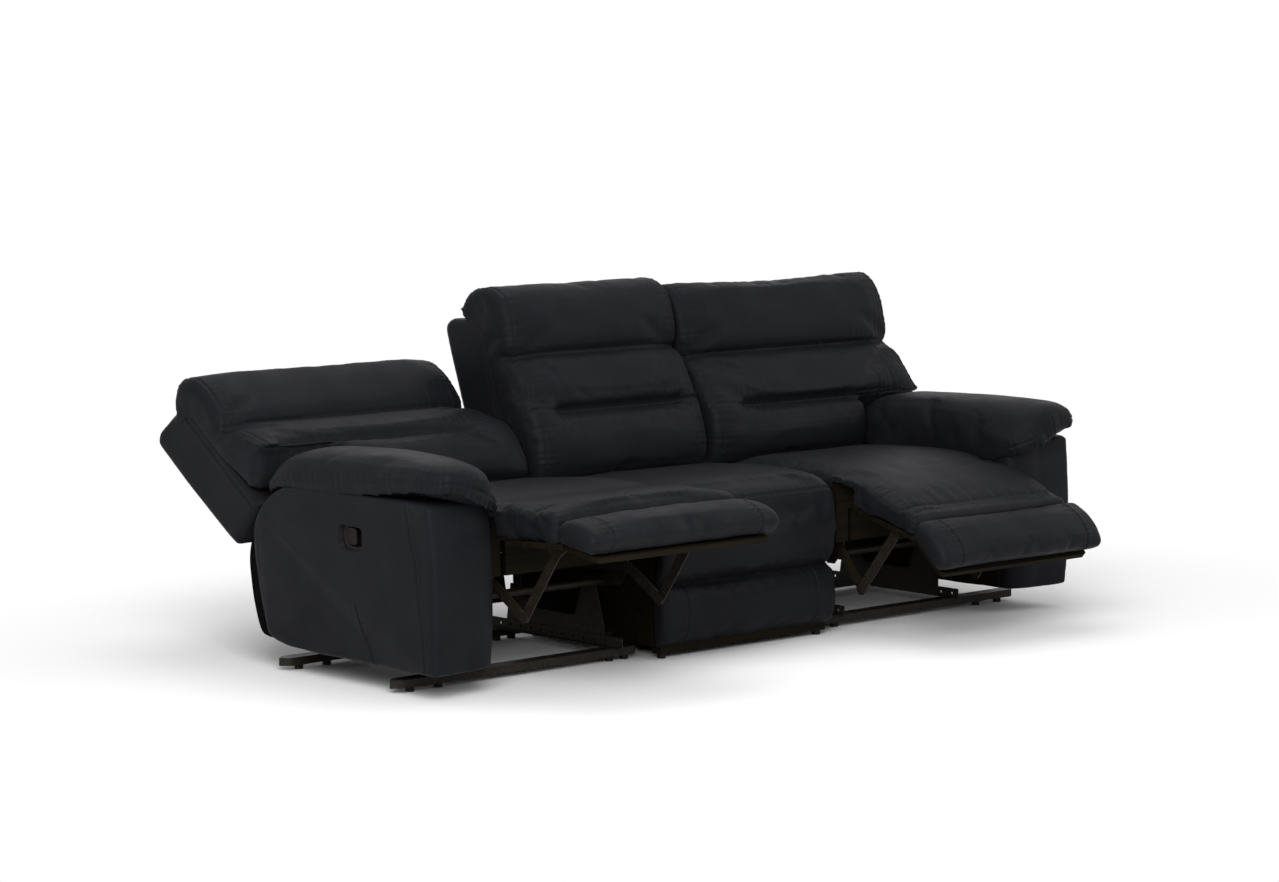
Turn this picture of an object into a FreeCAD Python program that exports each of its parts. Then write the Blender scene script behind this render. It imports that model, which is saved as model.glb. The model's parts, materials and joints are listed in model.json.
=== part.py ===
"""Three-seat reclining sofa: two recliner units with footrests and a fixed middle unit.

Lengths are millimetres. X runs along the sofa, Y runs back, Z is up. Each piece is drawn as if its
unit were upright with the footrest shut, and its Placement then takes it to the pose it rests in:
the left unit fully reclined, the right one upright with its footrest part open.
"""
import FreeCAD, Part
import math
import os
import re
import Sketcher
from FreeCAD import Placement, Rotation, Vector

doc = FreeCAD.newDocument("reclining_sofa")
sheet = doc.addObject("Spreadsheet::Sheet", "Sizes")
aliases = []
nodes = []


def size(alias, value, meaning):
    """Put one driving dimension in the sheet."""
    row = len(aliases) + 1
    sheet.set("A%d" % row, alias.replace("_", " "))
    sheet.set("B%d" % row, str(value))
    sheet.setAlias("B%d" % row, alias)
    sheet.set("C%d" % row, meaning)
    aliases.append(alias)


# Widths, measured from the sofa's middle plane
size("middle_half", 336, "half width of the fixed middle unit")
size("side_gap", 6, "running gap beside each moving seat and footrest")
size("arm_inner", 984, "inner face of an arm")
size("arm_foot_outer", 1184, "outer face of an arm at its bottom")
size("arm_top_outer", 1222, "outer face of an arm at its top")
size("pad_overhang", 16, "how far the arm pad stands out past the arm")
size("mech_plane", 905, "inner face of the outer base plate")
size("mech_pitch", 480, "distance between the two mechanisms of a unit")

# Arms
size("arm_front", -205, "front face of an arm")
size("arm_bottom", 66, "underside of an arm")
size("arm_top", 508, "top of the arm under its pad")
size("arm_lean", 38, "how far the arm's front leans back")
size("arm_rear", 578, "rearmost point of an arm")
size("arm_board", 18, "plywood side panel of an arm")
size("pad_top", 626, "crown line of the arm pad")
size("pad_front", -240, "front end of the arm pad")
size("pad_rear", 492, "rear end of the arm pad")
size("pad_crown", 10, "extra height of the arm pad's middle")

# Base
size("glide_height", 14, "plastic glide under a rail")
size("glide_radius", 12, "radius of a glide")
size("rail_height", 22, "height of the steel cross rails")
size("rail_depth", 44, "front to back width of a cross rail")
size("rail_end", 1200, "outer tip of a cross rail")
size("rail_inner", 360, "inner end of a cross rail")
size("rail_mitre", 26, "mitre of the rail's outer tip")
size("rear_rail", 473, "centre line of the rear cross rail")
size("outer_glide", 1134, "outermost glide")
size("second_glide", 1039, "second glide")
size("third_glide", 437, "third glide")
size("inner_glide", 382, "innermost glide")
size("side_rail_height", 30, "height of the perforated side rail")
size("side_rail_front", -48, "front end of the side rail")
size("side_rail_rear", 497, "rear end of the side rail")
size("sheet_steel", 3, "thickness of the folded rails")
size("hole_pitch", 44, "pitch of the holes in a side rail")
size("hole_radius", 4, "radius of the holes in a side rail")

# Mechanism plates and pivots
size("plate", 4, "thickness of mechanism plates and links")
size("plate_gap", 2, "gap between neighbouring plates")
size("pin_radius", 5, "radius of a mechanism pin")
size("running_fit", 0.05, "radial clearance of a pin in its hole")
size("open_fit", 1.4, "radial clearance where the rear swing link is left open")
size("carry_fit", 0.3, "radial clearance where the footrest coupler is left open")
size("link_half", 15, "half width of a swing link")
size("front_pivot_y", 90, "front swing link's base pivot, back from the front glides")
size("front_pivot_z", 205, "front swing link's base pivot, above the floor")
size("front_link", 100, "length of the front swing link")
size("rear_pivot_y", 400, "rear swing link's base pivot")
size("rear_pivot_z", 150, "rear swing link's base pivot")
size("rear_link", 82, "length of the rear swing link")
size("tube_radius", 11, "radius of the torque tube")
size("tube_wall", 2, "wall of the torque tube")
size("rocker_y", -35, "footrest rocker's pivot on the seat plate")
size("rocker_z", 252, "footrest rocker's pivot on the seat plate")
size("carry_y", 94, "carrying pin behind the footrest's hinge line, shut")
size("carry_z", 135, "carrying pin below the footrest's hinge line, shut")

# Seat
size("seat_base", 262, "underside of the seat box")
size("board", 18, "thickness of the box boards")
size("box_top", 350, "top of the seat box")
size("box_front", -93, "front face of the seat box")
size("box_rear", 413, "rear face of the seat box")
size("webbing_width", 50, "width of an elastic strap")
size("webbing", 2, "thickness of an elastic strap")
size("webbing_pitch", 92, "pitch of the elastic straps")
size("hinge_y", -172, "footrest hinge line at the seat's front edge")
size("hinge_z", 428, "footrest hinge line at the seat's front edge")
size("seat_edge", 452, "height of the seat cushion at its front edge")
size("seat_crown", 14, "extra height of the seat cushion's middle")
size("soft_gap", 0.3, "gap between soft pieces and their neighbours")
size("lip_gap", 3, "gap between the seat's lip and the shut footrest")

# Footrest
size("calf_length", 250, "calf pad from its hinge to the crease")
size("ottoman_length", 145, "ottoman from the crease to its far edge")
size("foot_pad", 60, "thickness of the footrest pads")
size("foot_board", 15, "thickness of the footrest boards")
size("foot_crown", 14, "crown of the footrest pads")
size("end_gap", 0.15, "each pad's distance from the crease, where the leather hinges")
size("bracket_rise", 58, "calf bracket above its carrying pin")
size("bracket_drop", 62, "calf bracket below its carrying pin")
size("slot_gap", 4, "room around a calf bracket in the slot of the seat box")
size("board_corner", 12, "corner radius of the footrest boards")
size("board_inset", 8, "boards stop short of the pads' ends")

# Back
size("back_pivot_y", 470, "back hinge, behind the front glides")
size("back_pivot_z", 470, "back hinge, above the floor")
size("bracket", 4, "thickness of the back brackets and ears")
size("back_pin", 6, "radius of the back hinge pin")
size("seam_y", 512, "seam line of back cushion and shell at its foot")
size("seam_z", 480, "seam line of back cushion and shell at its foot")
size("back_slope", 0.325, "run over rise of an upright back")
size("back_front", 85, "cushion in front of the seam line")
size("shell_depth", 176, "depth of the back shell")
size("shell_drop", 29, "how far the shell's rear edge hangs below its front")
size("shell_top", 884, "top of the back shell")
size("back_top", 986, "top of the back's head roll")
size("back_outer", 1215, "outer end of a recliner's back")
size("wing_bottom", 642, "underside of the back's wing over the arm")
size("back_board_top", 868, "top of the back board")
size("channel", 16, "depth of the sewn channels across a back")
size("low_channel", 608, "height of a back's lower sewn channel")
size("high_channel", 765, "height of a back's upper sewn channel")

# Pull handle, on the outer face of each arm
size("handle_y", 120, "centre of the pull handle")
size("handle_z", 400, "centre of the pull handle")
size("bezel_width", 105, "front to back size of the handle's bezel")
size("bezel_height", 75, "height of the handle's bezel")
size("bezel_rim", 11, "width of the bezel's rim")
size("bezel_depth", 16, "depth of the bezel")
size("bezel_proud", 5, "how far the bezel stands out")
size("lever_width", 44, "front to back size of the lever")
size("lever_pin", 2.5, "radius of the lever's pin")
size("recess_depth", 34, "depth of the finger recess in the arm")

# Rest pose and travel, in degrees
size("seat_tilt", 3, "how far the seat tilts when fully reclined")
size("recline", 33, "how far the back turns on the seat")
size("open_full", 90, "full travel of the calf pad")
size("open_part", 75, "opening of the right footrest at rest")
size("left_fold", 12, "fold at the left footrest's crease, at rest")
size("right_fold", 27, "fold at the right footrest's crease, at rest")
doc.recompute()

alias_pattern = re.compile(r"\b(" + "|".join(sorted(aliases, key=len, reverse=True)) + r")\b")


def value(expression):
    """The number that an expression over the sheet's names gives."""
    return float(sheet.evalExpression(expression))


def bind(item, prop, expression):
    """Bind a property to an expression over the sheet's names."""
    item.setExpression(prop, alias_pattern.sub(r"Sizes.\1", expression))


def turn(y, z, degrees):
    """A rotation about a line along X through a point of the side view."""
    return Placement(Vector(), Rotation(Vector(1, 0, 0), degrees), Vector(0, y, z))


def keep(item, label, pose):
    """Name a finished sub-part and put it in its rest pose."""
    item.Label = label
    item.Placement = pose.multiply(item.Placement)
    nodes.append(item)
    return item


def origin_plane(body, role):
    return next(f for f in body.Origin.OriginFeatures if f.Role == role)


def draw_outline(sketch, points):
    """Draw a closed outline whose corners are expressions, and fix each corner to them."""
    corners = [(value(a), value(b)) for a, b in points]
    first = sketch.GeometryCount
    count = len(corners)
    for i in range(count):
        start = Vector(corners[i][0], corners[i][1], 0)
        end = Vector(corners[(i + 1) % count][0], corners[(i + 1) % count][1], 0)
        sketch.addGeometry(Part.LineSegment(start, end))
    for i in range(count):
        sketch.addConstraint(Sketcher.Constraint("Coincident", first + i, 2, first + (i + 1) % count, 1))
    for i in range(count):
        for kind, axis in (("DistanceX", 0), ("DistanceY", 1)):
            number = sketch.addConstraint(
                Sketcher.Constraint(kind, -1, 1, first + i, 1, corners[i][axis]))
            bind(sketch, "Constraints[%d]" % number, points[i][axis])


def draw_circle(sketch, y, z, radius):
    """Draw a circle whose centre and radius are expressions."""
    centre = Vector(value(y), value(z), 0)
    item = sketch.addGeometry(Part.Circle(centre, Vector(0, 0, 1), value(radius)))
    number = sketch.addConstraint(Sketcher.Constraint("Radius", item, value(radius)))
    bind(sketch, "Constraints[%d]" % number, radius)
    for kind, place in (("DistanceX", y), ("DistanceY", z)):
        number = sketch.addConstraint(Sketcher.Constraint(kind, -1, 1, item, 3, value(place)))
        bind(sketch, "Constraints[%d]" % number, place)


def add_slab(body, side, start, end, outline=None, circles=()):
    """Add a pad whose section lies in the side view, from X = start to X = end."""
    sketch = body.newObject("Sketcher::SketchObject", "Section")
    sketch.AttachmentSupport = (origin_plane(body, "YZ_Plane"), [""])
    sketch.MapMode = "FlatFace"
    bind(sketch, "AttachmentOffset.Base.z", start if side > 0 else "-(%s)" % end)
    if outline:
        draw_outline(sketch, outline)
    for y, z, radius in circles:
        draw_circle(sketch, y, z, radius)
    pad = body.newObject("PartDesign::Pad", "Slab")
    pad.Profile = sketch
    bind(pad, "Length", "(%s) - (%s)" % (end, start))
    return pad


def new_body(label):
    return doc.addObject("PartDesign::Body", label)


def repeat_along_x(body, pitch, side):
    """Copy the whole body once, inwards by the pitch."""
    doc.recompute()
    pattern = body.newObject("PartDesign::LinearPattern", "Pair")
    pattern.TransformMode = "Whole shape"
    pattern.Direction = (origin_plane(body, "X_Axis"), [""])
    pattern.Reversed = side > 0
    pattern.Occurrences = 2
    bind(pattern, "Length", pitch)
    body.Tip = pattern


def box(side, x, y, z):
    """A bound box between pairs of expressions along each axis."""
    item = doc.addObject("Part::Box", "Block")
    bind(item, "Length", "(%s) - (%s)" % (x[1], x[0]))
    bind(item, "Width", "(%s) - (%s)" % (y[1], y[0]))
    bind(item, "Height", "(%s) - (%s)" % (z[1], z[0]))
    bind(item, "Placement.Base.x", x[0] if side > 0 else "-(%s)" % x[1])
    bind(item, "Placement.Base.y", y[0])
    bind(item, "Placement.Base.z", z[0])
    return item


def joined(items):
    """Several touching pieces glued into one."""
    fuse = doc.addObject("Part::MultiFuse", "Joined")
    fuse.Shapes = items
    return fuse


def section_wire(place, steps):
    """A closed wire from a start point and steps: ("line", end) or ("arc", middle, end)."""
    edges = []
    at = steps[0]
    for step in steps[1:]:
        end = step[-1]
        if step[0] == "line":
            edges.append(Part.LineSegment(place(at), place(end)).toShape())
        else:
            edges.append(Part.Arc(place(at), place(step[1]), place(end)).toShape())
        at = end
    return Part.Wire(edges)


def loft_along_x(sections, side):
    """A straight-sided loft through (x, steps) sections of the side view."""
    wires = []
    for x, steps in sections:
        wires.append(section_wire(lambda p, x=x: Vector(side * x, p[0], p[1]), steps))
    return Part.makeLoft(wires, True, True)


def soft_feature(label, shape, pose):
    item = doc.addObject("Part::Feature", label)
    item.Shape = shape
    return keep(item, label, pose)


def x_stations(start, end, inset):
    """Stations of a crowned piece: (x, how full it is there)."""
    middle = (start + end) / 2
    return [(start, 0.0), (start + inset, 0.8), (middle, 1.0), (end - inset, 0.8), (end, 0.0)]


def side_name(side):
    return "right" if side > 0 else "left"


class Pose:
    """Where each moving body of one recliner unit rests."""

    def __init__(self, side):
        reclined = side < 0
        tilt = value("seat_tilt") if reclined else 0.0
        turned = value("recline") if reclined else 0.0
        opened = value("open_full") if reclined else value("open_part")
        fold = value("left_fold") if reclined else value("right_fold")
        lift = rise_of_front_link(tilt)
        front = Vector(0, value("front_pivot_y"), value("front_pivot_z"))
        self.front_link = turn(front.y, front.z, -lift)
        tip = Vector(0, front.y - value("front_link"), front.z)
        moved = self.front_link.multVec(tip)
        self.seat = Placement(moved - tip, Rotation()).multiply(turn(tip.y, tip.z, -tilt))
        rear = Vector(0, value("rear_pivot_y"), value("rear_pivot_z"))
        top = self.seat.multVec(Vector(0, rear.y, rear.z + value("rear_link")))
        swing = math.degrees(math.atan2(rear.y - top.y, top.z - rear.z))
        self.rear_link = turn(rear.y, rear.z, swing)
        self.back = self.seat.multiply(turn(value("back_pivot_y"), value("back_pivot_z"), -turned))
        self.calf = self.seat.multiply(turn(value("hinge_y"), value("hinge_z"), -opened))
        self.ottoman = self.calf.multiply(turn(value(crease_y), value(crease_z), fold))
        self.rocker = self.seat.multiply(turn(value("rocker_y"), value("rocker_z"), -opened))
        knee = Vector(0, value("rocker_y + carry_y"), value("rocker_z - carry_z"))
        self.coupler = self.rocker.multiply(turn(knee.y, knee.z, opened))
        points = {
            "front_link": front,
            "seat": moved,
            "rear_link": rear,
            "back": self.seat.multVec(Vector(0, value("back_pivot_y"), value("back_pivot_z"))),
            "calf": self.seat.multVec(Vector(0, value("hinge_y"), value("hinge_z"))),
            "ottoman": self.calf.multVec(Vector(0, value(crease_y), value(crease_z))),
            "rocker": self.seat.multVec(Vector(0, value("rocker_y"), value("rocker_z"))),
            "coupler": self.rocker.multVec(knee),
        }
        self.pivots = points
        self.angles = {"front_link": lift, "rear_link": swing}


def rise_of_front_link(tilt):
    """How far the front swing link turns to tilt the seat about its rear link."""
    reach = value("rear_pivot_y - front_pivot_y + front_link")
    rise = reach * math.sin(math.radians(tilt))
    return math.degrees(math.asin(rise / value("front_link")))


crease_y = "hinge_y + foot_pad"
crease_z = "hinge_z - calf_length"
link_in = "mech_plane - plate_gap - plate"
seat_in = "mech_plane - 2 * (plate_gap + plate)"
rocker_in = "mech_plane - 3 * (plate_gap + plate)"
coupler_in = "mech_plane - 4 * (plate_gap + plate)"
pin_hole = "pin_radius + running_fit"
open_hole = "pin_radius + open_fit"
carry_hole = "pin_radius + carry_fit"
rail_top = "glide_height + rail_height"
fixed = Placement()


# Base of a recliner unit
def build_cross_rails(side):
    """Front and rear steel rails with mitred outer tips."""
    body = new_body(side_name(side) + "_cross_rails")
    for centre in ("0", "rear_rail"):
        sketch = body.newObject("Sketcher::SketchObject", "Plan")
        sketch.AttachmentSupport = (origin_plane(body, "XY_Plane"), [""])
        sketch.MapMode = "FlatFace"
        bind(sketch, "AttachmentOffset.Base.z", "glide_height")
        sign = "" if side > 0 else "-"
        front = centre + " - rail_depth / 2"
        rear = centre + " + rail_depth / 2"
        draw_outline(sketch, [
            (sign + "rail_inner", front),
            ("%s(rail_end - rail_mitre)" % (sign or "1 * "), front),
            (sign + "rail_end", centre),
            ("%s(rail_end - rail_mitre)" % (sign or "1 * "), rear),
            (sign + "rail_inner", rear)])
        pad = body.newObject("PartDesign::Pad", "Rail")
        pad.Profile = sketch
        bind(pad, "Length", "rail_height")
    keep(body, side_name(side) + "_cross_rails", fixed)


def build_glides():
    """Round plastic glides under every rail."""
    body = new_body("glides")
    sketch = body.newObject("Sketcher::SketchObject", "Plan")
    sketch.AttachmentSupport = (origin_plane(body, "XY_Plane"), [""])
    sketch.MapMode = "FlatFace"
    for y in ("0", "rear_rail"):
        for x in ("outer_glide", "second_glide", "third_glide", "inner_glide"):
            draw_circle(sketch, x, y, "glide_radius")
            draw_circle(sketch, "-" + x, y, "glide_radius")
    for y in (middle_rail_front, middle_rail_rear):
        for sign in ("", "-"):
            draw_circle(sketch, sign + "(middle_half - 2 * board)", y, "glide_radius")
    pad = body.newObject("PartDesign::Pad", "Glides")
    pad.Profile = sketch
    bind(pad, "Length", "glide_height")
    keep(body, "glides", fixed)


def build_side_rails(side):
    """Perforated angle rails that carry the mechanism on the cross rails."""
    body = new_body(side_name(side) + "_side_rails")
    web_in = "mech_plane + plate"
    web_out = web_in + " + sheet_steel"
    holes = int((value("side_rail_rear - side_rail_front") - 60) // value("hole_pitch")) + 1
    middle = rail_top + " + side_rail_height / 2"
    circles = []
    for i in range(holes):
        circles.append(("side_rail_front + 24 + %d * hole_pitch" % i, middle, "hole_radius"))
    add_slab(body, side, web_in, web_out, [
        ("side_rail_front", rail_top), ("side_rail_rear", rail_top),
        ("side_rail_rear", rail_top + " + side_rail_height"),
        ("side_rail_front", rail_top + " + side_rail_height")], circles)
    add_slab(body, side, web_out, web_out + " + 5 * sheet_steel", [
        ("side_rail_front", rail_top), ("side_rail_rear", rail_top),
        ("side_rail_rear", rail_top + " + sheet_steel"),
        ("side_rail_front", rail_top + " + sheet_steel")])
    repeat_along_x(body, "mech_pitch", side)
    keep(body, side_name(side) + "_side_rails", fixed)


def build_base_plates(side):
    """Fixed plates of the mechanism, with the pins that the swing links turn on."""
    body = new_body(side_name(side) + "_base_plates")
    foot = rail_top + " + 6"
    add_slab(body, side, "mech_plane", "mech_plane + plate", [
        ("front_pivot_y - 60", foot), ("rear_pivot_y + 40", foot),
        ("rear_pivot_y + 20", "rear_pivot_z + 18"), ("rear_pivot_y - 20", "rear_pivot_z + 18"),
        ("rear_pivot_y - 70", "rear_pivot_z - 42"), ("front_pivot_y + 60", "rear_pivot_z - 42"),
        ("front_pivot_y + 20", "front_pivot_z + 18"), ("front_pivot_y - 20", "front_pivot_z + 18"),
        ("front_pivot_y - 60", "rear_pivot_z - 60")])
    add_slab(body, side, link_in, "mech_plane", None, [
        ("front_pivot_y", "front_pivot_z", "pin_radius"),
        ("rear_pivot_y", "rear_pivot_z", "pin_radius")])
    repeat_along_x(body, "mech_pitch", side)
    keep(body, side_name(side) + "_base_plates", fixed)


# Arm
arm_flare = "(arm_top_outer - arm_foot_outer) / (arm_top - arm_bottom)"
arm_slope = "arm_lean / (arm_top - arm_bottom)"


def build_arm_frame(side):
    """Plywood side panel on blocks that stand on the cross rails."""
    body = new_body(side_name(side) + "_arm_frame")
    rear_foot = "arm_rear - 58"
    add_slab(body, side, "arm_inner", "arm_inner + arm_board", [
        ("arm_front + 12", "arm_bottom"), (rear_foot, "arm_bottom"),
        (rear_foot, "arm_bottom + 30"), ("arm_rear - 10", "arm_bottom + 258"),
        ("arm_rear - 20", "arm_bottom + 324"), ("arm_rear - 108", "arm_top - 38"),
        ("arm_front + arm_lean + 14", "arm_top - 12")])
    for centre in ("0", "rear_rail"):
        add_slab(body, side, "arm_inner", "arm_foot_outer - 24", [
            (centre + " - rail_depth / 2 + 4", rail_top),
            (centre + " + rail_depth / 2 - 4", rail_top),
            (centre + " + rail_depth / 2 - 4", "arm_bottom"),
            (centre + " - rail_depth / 2 + 4", "arm_bottom")])
    keep(body, side_name(side) + "_arm_frame", fixed)


def build_arm_cover(side):
    """Padded leather arm with a flared outer face and a recess behind the pull handle."""
    body = new_body("arm_block")
    add_slab(body, side, "arm_inner + arm_board", "arm_top_outer", [
        ("arm_front", "arm_bottom"), ("arm_rear - 250", "arm_bottom"),
        ("arm_rear - 130", "arm_bottom + 8"), ("arm_rear - 48", "arm_bottom + 26"),
        ("arm_rear - 18", "arm_bottom + 110"), ("arm_rear", "arm_bottom + 262"),
        ("arm_rear - 9", "arm_bottom + 332"), ("arm_rear - 99", "arm_top - 29"),
        ("arm_rear - 180", "arm_top"), ("arm_front + arm_lean", "arm_top")])
    wedge = new_body("flare_wedge")
    sketch = wedge.newObject("Sketcher::SketchObject", "Front")
    sketch.AttachmentSupport = (origin_plane(wedge, "XZ_Plane"), [""])
    sketch.MapMode = "FlatFace"
    bind(sketch, "AttachmentOffset.Base.z", "-(arm_rear + 20)")
    sign = "" if side > 0 else "-"
    draw_outline(sketch, [
        (sign + "arm_foot_outer", "arm_bottom - 1"), (sign + "(arm_top_outer + 20)", "arm_bottom - 1"),
        (sign + "(arm_top_outer + 20)", "arm_top + 1"), (sign + "arm_top_outer", "arm_top + 1")])
    cut = wedge.newObject("PartDesign::Pad", "Wedge")
    cut.Profile = sketch
    bind(cut, "Length", "arm_rear - arm_front + 60")
    recess = box(side, ("arm_top_outer - 10 - recess_depth", "arm_top_outer + 10"),
                 ("handle_y - bezel_width / 2 + bezel_rim - 3", "handle_y + bezel_width / 2 - bezel_rim + 3"),
                 ("handle_z - bezel_height / 2 + bezel_rim - 3", "handle_z + bezel_height / 2 - bezel_rim + 3"))
    seat_for_bezel = bezel_block(side)
    flared = doc.addObject("Part::Cut", "Flared")
    flared.Base = body
    flared.Tool = wedge
    hollow = doc.addObject("Part::Cut", "Hollow")
    hollow.Base = flared
    hollow.Tool = recess
    item = doc.addObject("Part::Cut", "arm_cover")
    item.Base = hollow
    item.Tool = seat_for_bezel
    doc.recompute()
    keep(item, side_name(side) + "_arm_cover", fixed)


def build_arm_pad(side):
    """Pillow-top pad that droops over the arm's front and overhangs its outer side."""
    inner = value("arm_inner + 4")
    outer = value("arm_top_outer + pad_overhang")
    under = value("arm_top + soft_gap")
    top = value("pad_top")
    crown = value("pad_crown")
    front = value("pad_front")
    rear = value("pad_rear")
    stations = [
        (front, 22, -8, -62),
        (front + 34, 8, 1, -16),
        (front + 120, 0, 0, 0),
        (rear - 190, 0, 0, 4),
        (rear - 80, 4, 0, -22),
        (rear, 18, 0, -72)]
    wires = []
    for y, inset, drop, rise in stations:
        a = inner + inset
        b = outer - inset
        low = under + drop
        high = top + rise
        middle = (a + b) / 2
        half = (low + high) / 2
        steps = [(a, low), ("line", (b, low)), ("arc", (b + 5, half), (b - 8, high)),
                 ("arc", (middle, high + crown), (a + 8, high)), ("arc", (a - 3, half), (a, low))]
        wires.append(section_wire(lambda p, y=y: Vector(side * p[0], y, p[1]), steps))
    soft_feature(side_name(side) + "_arm_pad", Part.makeLoft(wires, True, True), fixed)


def handle_frame(side):
    """Placement of the handle's own frame: its X points out of the arm's flared face."""
    lean = math.degrees(math.atan(value(arm_flare)))
    face = value("arm_foot_outer") + value(arm_flare) * value("handle_z - arm_bottom")
    return Placement(Vector(side * face, value("handle_y"), value("handle_z")),
                     Rotation(Vector(0, 1, 0), side * lean))


def bezel_block(side):
    """The space that the bezel fills in the arm, open to the outside."""
    block = box(side, ("bezel_proud - bezel_depth", "bezel_proud + 1"),
                ("-bezel_width / 2", "bezel_width / 2"), ("-bezel_height / 2", "bezel_height / 2"))
    holder = doc.addObject("Part::Compound", "BezelSeat")
    holder.Links = [block]
    holder.Placement = handle_frame(side)
    return holder


def lever_axis_y():
    return "bezel_width / 2 - bezel_rim - 2 * lever_pin"


def build_bezel(side):
    """Frame of the pull handle, with holes for the lever's pin."""
    outer = box(side, ("bezel_proud - bezel_depth", "bezel_proud"),
                      ("-bezel_width / 2", "bezel_width / 2"), ("-bezel_height / 2", "bezel_height / 2"))
    window = box(side, ("bezel_proud - bezel_depth - 1", "bezel_proud + 1"),
                       ("bezel_rim - bezel_width / 2", "bezel_width / 2 - bezel_rim"),
                       ("bezel_rim - bezel_height / 2", "bezel_height / 2 - bezel_rim"))
    hole = doc.addObject("Part::Cylinder", "PinHole")
    bind(hole, "Radius", "lever_pin + running_fit")
    bind(hole, "Height", "bezel_height - bezel_rim")
    bind(hole, "Placement.Base.y", lever_axis_y())
    bind(hole, "Placement.Base.z", "(bezel_rim - bezel_height) / 2")
    ring = doc.addObject("Part::Cut", "Ring")
    ring.Base = outer
    ring.Tool = window
    item = doc.addObject("Part::Cut", "handle_bezel")
    item.Base = ring
    item.Tool = hole
    keep(item, side_name(side) + "_handle_bezel", handle_frame(side))


def build_lever(side):
    """Pull lever on a vertical pin at the rear of the bezel."""
    paddle = box(side, ("-3", "2.5"),
                       (lever_axis_y() + " - lever_width + 5", lever_axis_y() + " + 4"),
                       ("bezel_rim - bezel_height / 2 + 1", "bezel_height / 2 - bezel_rim - 1"))
    pin = doc.addObject("Part::Cylinder", "Pin")
    bind(pin, "Radius", "lever_pin")
    bind(pin, "Height", "bezel_height - bezel_rim - 2")
    bind(pin, "Placement.Base.y", lever_axis_y())
    bind(pin, "Placement.Base.z", "(bezel_rim - bezel_height) / 2 + 1")
    item = joined([paddle, pin])
    keep(item, side_name(side) + "_handle_lever", handle_frame(side))


def build_rear_panel(side):
    """Thin panel that closes the back of the base, nailed to the arm's rear edge."""
    body = new_body(side_name(side) + "_rear_panel")
    foot = "arm_rear - 58"
    head = "arm_rear - 10"
    add_slab(body, side, "middle_half + 3 * side_gap", "arm_inner + arm_board - 1", [
        (foot, "arm_bottom + 30"), (foot + " + board / 2", "arm_bottom + 30"),
        (head + " + board / 2", "arm_bottom + 258"), (head, "arm_bottom + 258")])
    keep(body, side_name(side) + "_rear_panel", fixed)


# Moving base links
def add_link(body, side, start, first, second, holes):
    """A flat bar between two pivots, with its corners cut and its pin holes open."""
    run = "((%s) - (%s))" % (second[0], first[0])
    rise = "((%s) - (%s))" % (second[1], first[1])
    unit = "link_half / sqrt(%s ^ 2 + %s ^ 2)" % (run, rise)
    points = []
    for end, way in ((first, -1), (second, 1)):
        for along, across in ((link_corner, -way), (1, -link_corner * way),
                              (1, link_corner * way), (link_corner, way)):
            y = "(%s) + %s * ((%g) * %s - (%g) * %s)" % (end[0], unit, way * along, run, across, rise)
            z = "(%s) + %s * ((%g) * %s + (%g) * %s)" % (end[1], unit, way * along, rise, across, run)
            points.append((y, z))
    circles = [(place[0], place[1], radius) for place, radius in holes]
    return add_slab(body, side, start, start + " + plate", points, circles)


# How much of a link's half width is left at its cut corners
link_corner = 0.45
front_base = ("front_pivot_y", "front_pivot_z")
front_tip = ("front_pivot_y - front_link", "front_pivot_z")
rear_base = ("rear_pivot_y", "rear_pivot_z")
rear_tip = ("rear_pivot_y", "rear_pivot_z + rear_link")
rocker_top = ("rocker_y", "rocker_z")
rocker_foot = ("rocker_y + carry_y", "rocker_z - carry_z")
carry_pin = ("hinge_y + carry_y", "hinge_z - carry_z")


def build_front_links(side, pose):
    """Front swing links, welded to the torque tube that keeps both sides together."""
    body = new_body(side_name(side) + "_front_swing_links")
    for shift in ("0", "mech_pitch"):
        start = "%s - %s" % (link_in, shift)
        add_link(body, side, start, front_base, front_tip,
                 [(front_base, pin_hole), (front_tip, pin_hole)])
    add_slab(body, side, "%s + plate - mech_pitch" % link_in, link_in, None,
             [("front_pivot_y - front_link / 2", "front_pivot_z", "tube_radius"),
              ("front_pivot_y - front_link / 2", "front_pivot_z", "tube_radius - tube_wall")])
    keep(body, side_name(side) + "_front_swing_links", pose.front_link)


def build_rear_links(side, pose):
    """Rear swing links, whose upper pivot is left open."""
    body = new_body(side_name(side) + "_rear_swing_links")
    add_link(body, side, link_in, rear_base, rear_tip, [(rear_base, pin_hole), (rear_tip, open_hole)])
    repeat_along_x(body, "mech_pitch", side)
    keep(body, side_name(side) + "_rear_swing_links", pose.rear_link)


def build_mech_plates(side, pose):
    """Plates under the seat box that carry it on the links and hold the footrest rockers."""
    body = new_body(side_name(side) + "_mech_plates")
    add_slab(body, side, seat_in, seat_in + " + plate", [
        ("rocker_y - 25", "seat_base"), ("rocker_y - 25", "rocker_z - 20"),
        ("front_pivot_y - front_link - 12", "front_pivot_z - 18"),
        ("front_pivot_y - front_link + 16", "front_pivot_z - 18"),
        ("front_pivot_y - front_link + 20", "front_pivot_z + tube_radius + 10"),
        ("rear_pivot_y - 40", "front_pivot_z + tube_radius + 10"),
        ("rear_pivot_y - 18", "rear_pivot_z + rear_link - 20"),
        ("rear_pivot_y + 16", "rear_pivot_z + rear_link - 20"), ("rear_pivot_y + 20", "seat_base")])
    add_slab(body, side, seat_in + " + plate", link_in + " + plate", None, [
        (front_tip[0], front_tip[1], "pin_radius"), (rear_tip[0], rear_tip[1], "pin_radius")])
    add_slab(body, side, rocker_in, seat_in, None, [(rocker_top[0], rocker_top[1], "pin_radius")])
    repeat_along_x(body, "mech_pitch", side)
    keep(body, side_name(side) + "_mech_plates", pose.seat)


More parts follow.
